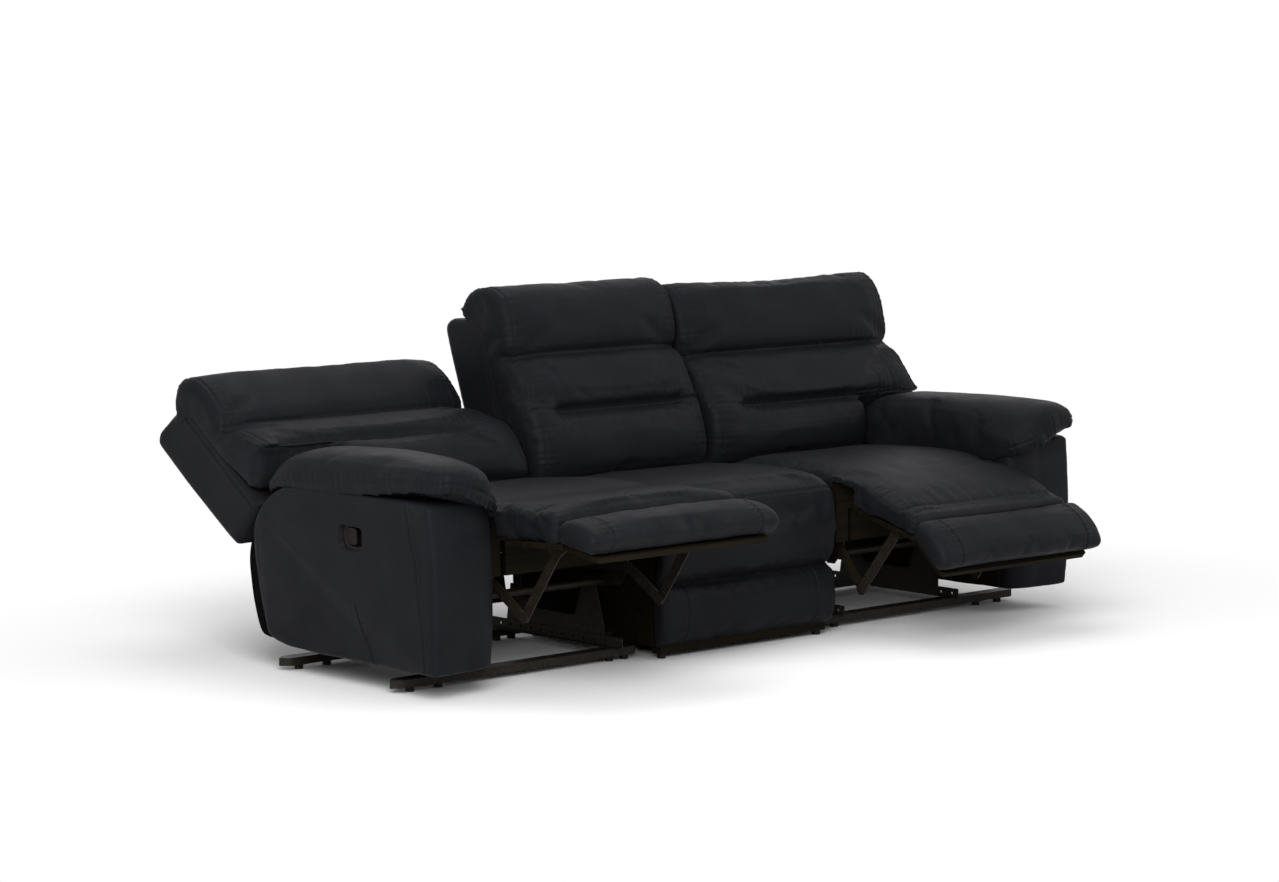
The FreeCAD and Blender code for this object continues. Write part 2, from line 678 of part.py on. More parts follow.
# Seat
inner_board = "middle_half + side_gap + bracket + 3.5"
outer_board = "arm_inner - bracket - 2.5 - board"


def build_seat_box(side, pose):
    """Wooden seat box on two bearers; slots in its front board let the calf brackets swing in."""
    height = ("seat_base", "box_top")
    between = ("box_front + board", "box_rear - board")
    across = (inner_board, outer_board + " + board")
    boards = [
        box(side, across, ("box_front", "box_front + board"), ("seat_base", "hinge_z")),
        box(side, across, ("box_rear - board", "box_rear"), height),
        box(side, (inner_board, inner_board + " + board"), between, height),
        box(side, (outer_board, outer_board + " + board"), between, height)]
    for shift in ("0", "mech_pitch"):
        start = "%s - %s" % (seat_in, shift)
        boards.append(box(side, (start, start + " + 2 * board"), between,
                          ("seat_base", "seat_base + 1.5 * board")))
    slots = []
    for shift in ("0", "mech_pitch"):
        slots.append(box(side, ("%s - %s - slot_gap" % (coupler_in, shift),
                                "%s + plate - %s + slot_gap" % (rocker_in, shift)),
                         ("box_front - 1", "box_front + board + 1"),
                         ("seat_base - 1", carry_pin[1] + " + bracket_rise + slot_gap")))
    item = doc.addObject("Part::Cut", "seat_box")
    item.Base = joined(boards)
    item.Tool = joined(slots)
    keep(item, side_name(side) + "_seat_box", pose.seat)


def build_webbing(side, pose):
    """Elastic straps across the seat box."""
    count = 5
    first = "box_front + board + 20"
    body = new_body(side_name(side) + "_seat_webbing")
    add_slab(body, side, inner_board + " + 4", outer_board + " + board - 4", [
        (first, "box_top"), (first + " + webbing_width", "box_top"),
        (first + " + webbing_width", "box_top + webbing"), (first, "box_top + webbing")])
    doc.recompute()
    pattern = body.newObject("PartDesign::LinearPattern", "Straps")
    pattern.TransformMode = "Whole shape"
    pattern.Direction = (origin_plane(body, "Y_Axis"), [""])
    pattern.Occurrences = count
    bind(pattern, "Length", "%d * webbing_pitch" % (count - 1))
    body.Tip = pattern
    keep(body, side_name(side) + "_seat_webbing", pose.seat)


def seat_section(rise, draw):
    """Side view of a recliner's seat cushion, with its lip over the shut footrest."""
    low = value("box_top + webbing + soft_gap")
    front = value("box_front + board + soft_gap")
    rear = value("box_rear")
    lip = value("hinge_z + lip_gap")
    nose = value("hinge_y") + 4 + draw
    edge = value("seat_edge") + rise * 0.4
    crown = value("seat_edge + seat_crown") + rise
    tail = value("seat_edge") - 16 + rise
    return [(front, low), ("line", (rear - 6 - draw, low)),
            ("arc", (rear - 1 - draw, low + 44), (rear - 8 - draw, tail)),
            ("arc", (0.35 * rear, crown), (nose + 22, edge)),
            ("arc", (nose + 5, edge - 8), (nose, lip)), ("line", (front, lip)), ("line", (front, low))]


def build_seat_cushion(side, pose):
    """Crowned seat cushion."""
    start = value("middle_half + side_gap + 3")
    end = value("arm_inner - 4")
    sections = []
    for x, full in x_stations(start, end, 60):
        sections.append((x, seat_section(-16 * (1 - full), 6 * (1 - full))))
    soft_feature(side_name(side) + "_seat_cushion", loft_along_x(sections, side), pose.seat)


def build_back_brackets(side, pose):
    """Steel brackets on the seat box that carry the back's hinge pins."""
    body = new_body(side_name(side) + "_back_brackets")
    rise = [
        ("box_rear - 80", "seat_base + 10"), ("box_rear - 14", "seat_base + 10"),
        ("back_pivot_y + 18", "back_pivot_z - 18"), ("back_pivot_y + 18", "back_pivot_z + 14"),
        ("back_pivot_y + 6", "back_pivot_z + 20"), ("back_pivot_y - 18", "back_pivot_z + 14"),
        ("box_rear + 6", "box_top + 40"), ("box_rear + 6", "box_top - 4"),
        ("box_rear - 80", "box_top - 4")]
    hole = [("back_pivot_y", "back_pivot_z", "back_pin + running_fit")]
    inner = inner_board + " - bracket"
    outer = outer_board + " + board"
    add_slab(body, side, inner, inner_board, rise, hole)
    add_slab(body, side, outer, outer + " + bracket", rise, hole)
    keep(body, side_name(side) + "_back_brackets", pose.seat)


# Footrest
def pad_section(top, bottom, front, back, crown, draw, top_rolls=True, bottom_rolls=True):
    """Side view of a pad: flat back, crowned front, and ends that roll or fall away from a crease."""
    middle = (front + back) / 2
    rolled, creased = (2, draw, 6 + draw), (0, 2.5 + draw, 9 + draw)
    head = rolled if top_rolls else creased
    tail = rolled if bottom_rolls else creased
    return [(back, top - head[0]), ("line", (back, bottom + tail[0])),
            ("arc", (middle, bottom + tail[1]), (front + 9, bottom + tail[2])),
            ("arc", (front - crown, (top + bottom) / 2), (front + 9, top - head[2])),
            ("arc", (middle, top - head[1]), (back, top - head[0]))]


def build_foot_pad(side, label, top, bottom, top_rolls, bottom_rolls, pose):
    start = value("middle_half + side_gap")
    end = value("arm_inner - side_gap")
    front = value("hinge_y")
    back = value("hinge_y + foot_pad - soft_gap")
    sections = []
    for x, full in x_stations(start, end, 36):
        slack = 1 - full
        crown = value("foot_crown") * full - 9 * full
        sections.append((x, pad_section(top, bottom, front + 8 * slack, back, crown, 3 * slack,
                                        top_rolls, bottom_rolls)))
    soft_feature(side_name(side) + label, loft_along_x(sections, side), pose)


def build_foot_board(side, label, top, bottom, pose):
    """Plywood board behind a footrest pad."""
    item = box(side, ("middle_half + side_gap + 2 * board_inset", "arm_inner - side_gap - 2 * board_inset"),
               ("hinge_y + foot_pad", "hinge_y + foot_pad + foot_board"), (bottom, top))
    holder = doc.addObject("Part::Fillet", side_name(side) + label)
    doc.recompute()
    holder.Base = item
    corners = []
    for i, edge in enumerate(item.Shape.Edges):
        if abs(abs(edge.tangentAt(edge.FirstParameter).y) - 1) < 1e-6:
            corners.append((i + 1, value("board_corner"), value("board_corner")))
    holder.Edges = corners
    keep(holder, side_name(side) + label, pose)


def build_footrest(side, pose):
    """Calf pad and ottoman, each a pad on a board, and the brackets that carry them."""
    top = value("hinge_z - lip_gap")
    crease = value(crease_z)
    gap = value("end_gap")
    build_foot_pad(side, "_calf_pad", top, crease + gap, True, False, pose.calf)
    build_foot_pad(side, "_ottoman_pad", crease - gap, crease - value("ottoman_length"), False, True,
                   pose.ottoman)
    build_foot_board(side, "_calf_board", "hinge_z - lip_gap - board_inset",
                     crease_z + " + board_inset", pose.calf)
    build_foot_board(side, "_ottoman_board", crease_z + " - board_inset",
                     crease_z + " - ottoman_length + board_inset", pose.ottoman)
    body = new_body(side_name(side) + "_calf_brackets")
    face = "hinge_y + foot_pad + foot_board"
    add_slab(body, side, rocker_in, rocker_in + " + plate", [
        (face, carry_pin[1] + " + bracket_rise"), (face, carry_pin[1] + " - bracket_drop"),
        (carry_pin[0] + " + 12", carry_pin[1] + " - 16"), (carry_pin[0] + " + 12", carry_pin[1] + " + 14")])
    add_slab(body, side, coupler_in, rocker_in, None, [(carry_pin[0], carry_pin[1], "pin_radius")])
    repeat_along_x(body, "mech_pitch", side)
    keep(body, side_name(side) + "_calf_brackets", pose.calf)


def build_foot_links(side, pose):
    """Rockers on the seat plates, and couplers from them to the footrest's brackets."""
    rockers = new_body(side_name(side) + "_foot_rockers")
    add_link(rockers, side, rocker_in, rocker_top, rocker_foot, [(rocker_top, pin_hole)])
    add_slab(rockers, side, coupler_in, rocker_in, None, [(rocker_foot[0], rocker_foot[1], "pin_radius")])
    repeat_along_x(rockers, "mech_pitch", side)
    keep(rockers, side_name(side) + "_foot_rockers", pose.rocker)
    couplers = new_body(side_name(side) + "_foot_couplers")
    add_link(couplers, side, coupler_in, rocker_foot, carry_pin,
             [(rocker_foot, pin_hole), (carry_pin, carry_hole)])
    repeat_along_x(couplers, "mech_pitch", side)
    keep(couplers, side_name(side) + "_foot_couplers", pose.coupler)


# Back
def seam_at(z):
    """Expression for the seam line's Y at a height."""
    return "(seam_y + back_slope * ((%s) - seam_z))" % z


def seam_y_at(z):
    return value("seam_y") + value("back_slope") * (z - value("seam_z"))


def build_back_frame(side, pose):
    """Back board with steel ears and the hinge pins."""
    body = new_body(side_name(side) + "_back_frame")
    foot = "seam_z + 30"
    add_slab(body, side, "middle_half + 4 * board", "back_outer - 2 * board", [
        (seam_at(foot), foot), (seam_at(foot) + " + board", foot),
        (seam_at("back_board_top") + " + board", "back_board_top"),
        (seam_at("back_board_top"), "back_board_top")])
    ear = [
        ("back_pivot_y - 16", "back_pivot_z - 14"), ("back_pivot_y + 20", "back_pivot_z - 18"),
        ("seam_y", "seam_z"), (seam_at("seam_z + 120"), "seam_z + 120"),
        (seam_at("seam_z + 120") + " - 18", "seam_z + 120"), ("back_pivot_y - 14", "back_pivot_z + 18")]
    ear_in = inner_board + " + 2.5"
    ear_out = outer_board + " + board - 2.5 - bracket"
    add_slab(body, side, ear_in, ear_in + " + bracket", ear)
    add_slab(body, side, inner_board + " - bracket", ear_in, None,
             [("back_pivot_y", "back_pivot_z", "back_pin")])
    add_slab(body, side, ear_out, ear_out + " + bracket", ear)
    add_slab(body, side, ear_out + " + bracket", outer_board + " + board + bracket", None,
             [("back_pivot_y", "back_pivot_z", "back_pin")])
    keep(body, side_name(side) + "_back_frame", pose.back)


def shell_outline():
    """Side view of the padded shell behind the seam line."""
    rear_foot = "seam_y + shell_depth"
    rear_head = "seam_y + shell_depth + back_slope * (shell_top - seam_z + shell_drop)"
    return [
        ("seam_y", "seam_z"), (rear_foot, "seam_z - shell_drop"), (rear_head, "shell_top - 24"),
        (rear_head + " - 14", "shell_top"), (seam_at("shell_top"), "shell_top")]


def build_back_shell(side, pose):
    """Padded rear shell with a pocket for the back board."""
    shell = new_body("shell_block")
    add_slab(shell, side, inner_board + " + 2.5", "back_outer", shell_outline())
    pocket = new_body("board_space")
    foot = "seam_z + 30"
    add_slab(pocket, side, "middle_half + 4 * board", "back_outer - 2 * board", [
        (seam_at(foot) + " - 10", foot), (seam_at(foot) + " + board", foot),
        (seam_at("back_board_top") + " + board", "back_board_top"),
        (seam_at("back_board_top") + " - 10", "back_board_top")])
    item = doc.addObject("Part::Cut", "back_shell")
    item.Base = shell
    item.Tool = pocket
    keep(item, side_name(side) + "_back_shell", pose.back)


def back_section(full, foot, seam_foot, channels):
    """Side view of a back cushion: lower edge, sewn channels and the head roll."""
    depth = value("back_front") - 14 * (1 - full)
    groove = value("channel") * full
    top = value("back_top") - 12 * (1 - full)
    shell = value("shell_top") + 0.3

    def front(z, less=0.0):
        return seam_y_at(z) - depth + less

    steps = [(seam_y_at(seam_foot), seam_foot),
             ("arc", (seam_y_at(foot) - depth / 2, foot - 6), (front(foot) + 12, foot + 6))]
    at = foot
    for z in channels:
        crest = (at + z) / 2
        steps.append(("arc", (front(crest) - 3, crest), (front(z, groove), z)))
        at = z
    crest = (at + top) / 2
    steps.append(("arc", (front(crest) - 4, crest), (front(top - 24) + 22, top - 24)))
    steps.append(("arc", (seam_y_at(top) - 20, top), (seam_y_at(shell) + 128, shell + 34)))
    steps.append(("line", (seam_y_at(shell) + 128, shell)))
    steps.append(("line", (seam_y_at(shell), shell)))
    steps.append(("line", (seam_y_at(seam_foot), seam_foot)))
    return steps


def build_back_cushion(side, pose):
    """Back cushion with a wing that reaches over and behind the arm."""
    start = value("middle_half") + 40
    end = value(outer_board) + 8
    wing_end = value("back_outer")
    foot = value("hinge_z") + 24
    channels = (value("low_channel"), value("high_channel"))
    sections = []
    for x, full in ((start, 0.0), (start + 50, 0.8), ((start + end) / 2, 1.0), (end, 0.9)):
        sections.append((x, back_section(full, foot, value("seam_z"), channels)))
    main = loft_along_x(sections, side)
    low = value("wing_bottom")
    wing = []
    for x, full in ((end, 0.9), (wing_end - 50, 0.75), (wing_end, 0.0)):
        wing.append((x, back_section(full, low, low + 2, channels[1:])))
    shape = main.fuse(loft_along_x(wing, side))
    soft_feature(side_name(side) + "_back_cushion", shape, pose.back)


# Middle unit
middle_rail_front = "box_front + 30"
middle_rail_rear = "rear_rail - 16"
middle_box_front = "box_front + 30"
middle_box_rear = "arm_rear - 90"


def build_middle_rails():
    """Two wooden runners under the middle unit."""
    boards = []
    for centre in (middle_rail_front, middle_rail_rear):
        boards.append(box(1, ("-(middle_half - board)", "middle_half - board"),
                          (centre + " - board", centre + " + board"), ("glide_height", rail_top)))
    for end in ("-(middle_half - 3 * board)", "middle_half - 4 * board"):
        boards.append(box(1, (end, "%s + board" % end), (middle_rail_front, middle_rail_rear),
                          ("glide_height", rail_top)))
    keep(joined(boards), "middle_rails", fixed)


def build_middle_box():
    """Wooden box of the middle unit."""
    height = (rail_top, "box_top")
    inside = (middle_box_front + " + board", middle_box_rear + " - board")
    boards = []
    for start in ("-middle_half + 2", "middle_half - 2 - board"):
        boards.append(box(1, (start, start + " + board"), inside, height))
    across = ("-middle_half + 2", "middle_half - 2")
    boards.append(box(1, across, (middle_box_front, middle_box_front + " + board"), height))
    boards.append(box(1, across, (middle_box_rear + " - board", middle_box_rear), height))
    keep(joined(boards), "middle_box", fixed)


def build_middle_front():
    """Lower front pad of the middle unit."""
    back = value(middle_box_front) - 0.3
    top = value(rail_top) + 148
    bottom = value(rail_top) + 3
    half = value("middle_half")
    sections = []
    for x, full in x_stations(-half, half, 30):
        slack = 1 - full
        sections.append((x, pad_section(top, bottom, back - 46 + 6 * slack, back, -4 * full, 3 * slack)))
    soft_feature("middle_front_pad", loft_along_x(sections, 1), fixed)


def build_middle_seat():
    """Middle seat cushion, whose front drops over the box to the crease."""
    half = value("middle_half")
    low = value("box_top") + 0.3
    back = value(middle_box_front) - 0.3
    rear = value("box_rear")
    crease = value(rail_top) + 152
    edge = value("seat_edge")
    sections = []
    for x, full in x_stations(-half, half, 50):
        drop = 18 * (1 - full)
        inset = 7 * (1 - full)
        sections.append((x, [
            (back, crease), ("line", (back, low)), ("line", (rear - 6, low)),
            ("arc", (rear - 1, low + 40), (rear - 8, edge - 18 - drop)),
            ("arc", (0.36 * rear, edge + 12 - drop), (back - 34 + inset, edge - 6 - drop)),
            ("arc", (back - 49 + inset, edge - 14 - drop), (back - 53 + inset, edge - 34 - drop)),
            ("arc", (back - 45 + inset, edge - 150), (back - 16, crease)),
            ("line", (back, crease))]))
    soft_feature("middle_seat_cushion", loft_along_x(sections, 1), fixed)


def build_middle_back():
    """Shell and cushion of the fixed middle back."""
    half = "middle_half - side_gap"
    body = new_body("middle_back_shell")
    outline = shell_outline()
    foot = [("seam_y - 4", "seam_z - 24"), (middle_box_rear + " + soft_gap", "box_top - 60"),
            ("arm_rear + 6", "box_top - 60"), ("arm_rear + 20", "box_top + 20")]
    add_slab(body, 1, "-(%s)" % half, half, outline[:1] + foot + outline[1:])
    keep(body, "middle_back_shell", fixed)
    reach = value(half)
    start_z = value("hinge_z") + 24
    channels = (value("low_channel"), value("high_channel"))
    sections = []
    for x, full in ((-reach, 0.0), (-reach + 50, 0.8), (0.0, 1.0), (reach - 50, 0.8), (reach, 0.0)):
        sections.append((x, back_section(full, start_z, value("seam_z"), channels)))
    soft_feature("middle_back_cushion", loft_along_x(sections, 1), fixed)


def build_connectors():
    """Tie bars that join the middle unit to the inner side rails."""
    body = new_body("unit_connectors")
    for side in (-1, 1):
        for y in ("front_pivot_y + 10", "rear_pivot_y - 20"):
            add_slab(body, side, "middle_half - 2", "mech_plane - mech_pitch", None,
                     [(y, rail_top + " + 18", "pin_radius + 1")])
    keep(body, "unit_connectors", fixed)


def build_unit(side):
    pose = Pose(side)
    build_cross_rails(side)
    build_side_rails(side)
    build_base_plates(side)
    build_arm_frame(side)
    build_arm_cover(side)
    build_arm_pad(side)
    build_bezel(side)
    build_lever(side)
    build_rear_panel(side)
    build_front_links(side, pose)
    build_rear_links(side, pose)
    build_mech_plates(side, pose)
    build_seat_box(side, pose)
    build_webbing(side, pose)
    build_seat_cushion(side, pose)
    build_back_brackets(side, pose)
    build_footrest(side, pose)
    build_foot_links(side, pose)
    build_back_frame(side, pose)
    build_back_shell(side, pose)
    build_back_cushion(side, pose)
    return pose


poses = {}
for unit_side in (1, -1):
    poses[side_name(unit_side)] = build_unit(unit_side)
build_glides()
build_middle_rails()
build_middle_box()
build_middle_front()
build_middle_seat()
build_middle_back()
build_connectors()
doc.recompute()

for item in doc.Objects:
    if "Invalid" in item.State or "Error" in item.State:
        raise RuntimeError("%s failed: %s" % (item.Label, item.State))
whole = FreeCAD.BoundBox()
for item in nodes:
    if item.Shape.isNull() or not item.Shape.isValid() or item.Shape.Volume <= 0:
        raise RuntimeError("%s has no valid shape" % item.Label)
    whole.add(item.Shape.optimalBoundingBox())

# The origin is the middle of the footprint, on the floor
shift = Vector(-whole.Center.x, -whole.Center.y, -whole.ZMin)
for item in nodes:
    item.Placement = Placement(shift, Rotation()).multiply(item.Placement)
doc.recompute()
os.makedirs("parts", exist_ok=True)
for item in nodes:
    item.Shape.exportStep("parts/%s.step" % item.Label)

print("pieces", len(nodes), "shift", shift)
print("box", whole)
for unit_name, unit_pose in poses.items():
    for pivot, point in unit_pose.pivots.items():
        print("pivot %s_%s %.3f %.3f" % (unit_name, pivot, point.y + shift.y, point.z + shift.z))
    for name, degrees in unit_pose.angles.items():
        print("angle %s_%s %.4f" % (unit_name, name, degrees))
for unit_side in (1, -1):
    frame = Placement(shift, Rotation()).multiply(handle_frame(unit_side))
    pin = frame.multVec(Vector(0, value(lever_axis_y()), 0))
    axis = frame.Rotation.multVec(Vector(0, 0, 1))
    print("handle %s %.3f %.3f %.3f axis %.5f %.5f %.5f" % (
        side_name(unit_side), pin.x, pin.y, pin.z, axis.x, axis.y, axis.z))
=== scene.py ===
"""Looks of a three-seat reclining sofa: leather pads, painted mechanism, pull handles and a studio."""
import json
import math

import bpy
import numpy as np
from bpy.props import FloatProperty, FloatVectorProperty, IntProperty, PointerProperty
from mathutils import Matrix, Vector
from mathutils.kdtree import KDTree


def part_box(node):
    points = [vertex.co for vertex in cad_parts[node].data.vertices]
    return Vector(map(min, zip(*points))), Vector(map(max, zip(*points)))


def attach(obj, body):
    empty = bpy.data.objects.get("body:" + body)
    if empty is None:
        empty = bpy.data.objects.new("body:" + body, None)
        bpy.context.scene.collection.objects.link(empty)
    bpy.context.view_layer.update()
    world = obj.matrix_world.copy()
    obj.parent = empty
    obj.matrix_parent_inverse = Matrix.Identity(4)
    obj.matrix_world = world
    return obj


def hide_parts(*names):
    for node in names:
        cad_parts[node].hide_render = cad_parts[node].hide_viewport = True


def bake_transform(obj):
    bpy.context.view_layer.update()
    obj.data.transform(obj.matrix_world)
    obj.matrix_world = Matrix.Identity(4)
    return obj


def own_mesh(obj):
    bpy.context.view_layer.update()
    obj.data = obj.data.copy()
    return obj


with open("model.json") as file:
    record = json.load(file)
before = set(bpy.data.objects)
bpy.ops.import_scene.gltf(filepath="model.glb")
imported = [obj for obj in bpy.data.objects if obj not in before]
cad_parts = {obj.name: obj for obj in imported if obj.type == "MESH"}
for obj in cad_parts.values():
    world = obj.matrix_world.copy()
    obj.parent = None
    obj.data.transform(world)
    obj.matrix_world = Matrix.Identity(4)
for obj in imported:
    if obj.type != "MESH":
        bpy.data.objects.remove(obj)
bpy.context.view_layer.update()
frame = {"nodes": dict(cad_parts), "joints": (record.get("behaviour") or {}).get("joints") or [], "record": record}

bl_info = {
    "name": "Reclining Sofa",
    "version": (1, 0, 0),
    "blender": (4, 5, 0),
    "location": "View3D > Sidebar > Sofa",
    "description": "Upholsters and finishes a three-seat reclining sofa around its frame",
    "category": "Object",
}

JOINTS = {joint["name"]: joint for joint in frame["joints"]}
RATIOS = {pair["joint"]: pair["ratio"] for pair in frame["record"]["behaviour"]["couplings"]}
SIDES = {"left": -1, "right": 1}

# The front glides' centre line, from which depths are counted
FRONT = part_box("right_cross_rails")[0].y + 0.022
MIDDLE_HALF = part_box("middle_seat_cushion")[1].x
ARM_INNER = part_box("right_arm_frame")[0].x
FOOT_PAD = 0.06
CALF_LENGTH = 0.25


def length(name, description, default):
    return FloatProperty(name=name, description=description, default=default, unit="LENGTH")


def colour(name, description, default):
    return FloatVectorProperty(name=name, description=description, subtype="COLOR", size=3, default=default)


class SofaSizes(bpy.types.PropertyGroup):
    """Sizes of the upholstery that a user would change."""

    seat_crown: length("Seat crown", "Rise of a seat's middle over its sides", 0.022)
    seam_width: length("Seam width", "Width of the furrow along a seam", 0.0035)
    seam_depth: length("Seam depth", "Depth of the furrow along a seam", 0.0028)
    stitch_pitch: length("Stitch pitch", "Distance from stitch to stitch", 0.0065)
    voxel: length("Skin grid", "Spacing of a pad's skin before it is refined", 0.0075)
    pressure: FloatProperty(
        name="Stuffing pressure", description="Pressure that swells a pad", default=4.0)
    sim_frames: IntProperty(
        name="Cloth frames", description="Frames over which a pad swells", default=14)


class SofaFinish(bpy.types.PropertyGroup):
    """Colours of the sofa and its studio."""

    leather: colour("Leather", "Leather colour", (0.0085, 0.0089, 0.0106))
    thread: colour("Thread", "Stitching thread", (0.010, 0.0105, 0.013))
    rail_paint: colour("Rail paint", "Paint of rails and base plates", (0.013, 0.0112, 0.0092))
    link_paint: colour("Link paint", "Paint of the moving links", (0.0125, 0.0096, 0.0062))
    handle: colour("Handle", "Pull handle", (0.0105, 0.0078, 0.0068))
    wood: colour("Board", "Boards of the seat boxes", (0.0075, 0.0058, 0.0032))
    cloth: colour("Base cloth", "Non-woven cloth under and behind", (0.0022, 0.0022, 0.0024))
    floor: colour("Floor", "Studio floor", (0.96, 0.96, 0.96))


def sizes():
    return bpy.context.scene.sofa_sizes


def finish():
    return bpy.context.scene.sofa_finish


# Places of the moving pads
def pivot(name):
    return np.array(JOINTS[name]["pos_m"])


def opened(side):
    return JOINTS[side + "_footrest"]["range_deg"][1]


def reclined(side):
    return JOINTS[side + "_recline"]["range_deg"][1]


def seat_tilt(side):
    ratio = RATIOS[side + "_front_link_pivot"] + RATIOS[side + "_seat_pivot"]
    return ratio * reclined(side)


def crease_fold(side):
    return -RATIOS[side + "_footrest_crease"] * opened(side)


HINGE = pivot("right_footrest")
BACK_HINGE = pivot("right_recline")
CREASE = HINGE + np.array([0, FOOT_PAD, -CALF_LENGTH])


def turned(points, about, degrees, to):
    """Points of the side view turned about a line along X and moved with it."""
    angle = math.radians(degrees)
    y = points[:, 1] - about[1]
    z = points[:, 2] - about[2]
    out = points.copy()
    out[:, 1] = y * math.cos(angle) - z * math.sin(angle) + to[1]
    out[:, 2] = y * math.sin(angle) + z * math.cos(angle) + to[2]
    return out


def seat_place(side, points):
    return turned(points, HINGE, -seat_tilt(side), pivot(side + "_footrest"))


def calf_place(side, points):
    return turned(points, HINGE, -seat_tilt(side) - opened(side), pivot(side + "_footrest"))


def ottoman_place(side, points):
    angle = -seat_tilt(side) - opened(side) + crease_fold(side)
    return turned(points, CREASE, angle, pivot(side + "_footrest_crease"))


def back_place(side, points):
    return turned(points, BACK_HINGE, -seat_tilt(side) - reclined(side), pivot(side + "_recline"))


def flat(points, x=0.0):
    """Points of the side view, counted from the front glides, as points in space."""
    table = np.array(points, float)
    return np.column_stack([np.full(len(table), x), table[:, 0] + FRONT, table[:, 1]])


# Curves and rings
def spline(points, per_span=8):
    """A smooth curve through points (Catmull-Rom), ends included."""
    p = np.array(points, float)
    p = np.vstack([2 * p[0] - p[1], p, 2 * p[-1] - p[-2]])
    out = []
    for i in range(1, len(p) - 2):
        for k in range(per_span):
            t = k / per_span
            a, b, c, d = p[i - 1:i + 3]
            out.append(0.5 * (2 * b + (c - a) * t + (2 * a - 5 * b + 4 * c - d) * t * t
                              + (3 * b - a - 3 * c + d) * t ** 3))
    out.append(p[-2])
    return np.array(out)


def evenly(points, count, closed=False):
    """Resample a line at even spacing."""
    p = np.array(points, float)
    if closed:
        p = np.vstack([p, p[:1]])
    step = np.linalg.norm(np.diff(p, axis=0), axis=1)
    along = np.concatenate([[0], np.cumsum(step)])
    wanted = np.linspace(0, along[-1], count, endpoint=not closed)
    return np.column_stack([np.interp(wanted, along, p[:, k]) for k in range(p.shape[1])])


def ring_of(*runs, count=150):
    """A closed ring in the side view: each run is a smooth curve, and runs meet at corners."""
    pieces = [spline(run) if len(run) > 2 else np.array(run, float) for run in runs]
    return evenly(np.vstack(pieces), count, closed=True)


def inset(ring, depth):
    """Move a ring inwards along its normals."""
    if depth == 0:
        return ring
    ahead = np.roll(ring, -1, axis=0) - np.roll(ring, 1, axis=0)
    normal = np.column_stack([-ahead[:, 1], ahead[:, 0]])
    normal /= np.linalg.norm(normal, axis=1)[:, None] + 1e-12
    area = 0.5 * np.sum(ring[:, 0] * np.roll(ring[:, 1], -1) - np.roll(ring[:, 0], -1) * ring[:, 1])
    return ring + normal * depth * (1 if area > 0 else -1)


def fade(t):
    """0 to 1 with flat ends."""
    t = np.clip(t, 0, 1)
    return t * t * (3 - 2 * t)


def crown(x, start, end, margin):
    """1 in the middle and 0 at both ends, rising over a margin."""
    edge = np.minimum(x - start, end - x) / margin
    return np.sqrt(np.clip(1 - (1 - np.clip(edge, 0, 1)) ** 2, 0, 1))


def stations(start, end, radius, middle=26):
    """(x, inset) pairs: a quarter round at both ends and even steps between."""
    turns = [math.radians(a) for a in (0, 18, 36, 54, 72)]
    out = [(start + radius * (1 - math.cos(a)), radius * (1 - math.sin(a))) for a in turns]
    inner = np.linspace(start + radius, end - radius, middle)
    out += [(x, 0.0) for x in inner]
    out += [(end - radius * (1 - math.cos(a)), radius * (1 - math.sin(a))) for a in reversed(turns)]
    return out


# Meshes
def mesh_object(name, points, faces):
    mesh = bpy.data.meshes.new(name)
    mesh.from_pydata([tuple(p) for p in points], [], faces)
    mesh.update()
    item = bpy.data.objects.new(name, mesh)
    bpy.context.scene.collection.objects.link(item)
    return item


def loft(name, rings):
    """A closed skin over rings of equal count, capped at both ends."""
    rings = [np.array(r, float) for r in rings]
    count = len(rings[0])
    points = np.vstack(rings)
    faces = []
    for i in range(len(rings) - 1):
        for j in range(count):
            k = (j + 1) % count
            faces.append((i * count + j, i * count + k, (i + 1) * count + k, (i + 1) * count + j))
    faces.append(tuple(reversed(range(count))))
    last = (len(rings) - 1) * count
    faces.append(tuple(range(last, last + count)))
    item = mesh_object(name, points, faces)
    outward(item)
    return item


def outward(item):
    """Make a closed skin's faces look outwards."""
    mesh = item.data
    mesh.calc_loop_triangles()
    co = coordinates(item)
    tri = np.array([t.vertices[:] for t in mesh.loop_triangles])
    a, b, c = co[tri[:, 0]], co[tri[:, 1]], co[tri[:, 2]]
    if np.einsum("ij,ij->i", a, np.cross(b, c)).sum() < 0:
        mesh.flip_normals()


def coordinates(item):
    co = np.empty(len(item.data.vertices) * 3, np.float32)
    item.data.vertices.foreach_get("co", co)
    return co.reshape(-1, 3).astype(float)


def normals(item):
    no = np.empty(len(item.data.vertices) * 3, np.float32)
    item.data.vertex_normals.foreach_get("vector", no)
    return no.reshape(-1, 3).astype(float)


def set_coordinates(item, co):
    item.data.vertices.foreach_set("co", np.asarray(co, np.float32).ravel())
    item.data.update()


def apply_modifier(item, kind, **settings):
    """Add a modifier, keep its result as the mesh and take it off again."""
    modifier = item.modifiers.new(kind.title(), kind)
    for key, value in settings.items():
        setattr(modifier, key, value)
    bpy.context.view_layer.update()
    graph = bpy.context.evaluated_depsgraph_get()
    result = bpy.data.meshes.new_from_object(item.evaluated_get(graph))
    item.modifiers.clear()
    old = item.data
    item.data = result
    bpy.data.meshes.remove(old)


def remesh(item, voxel):
    apply_modifier(item, "REMESH", mode="VOXEL", voxel_size=voxel, use_smooth_shade=True)


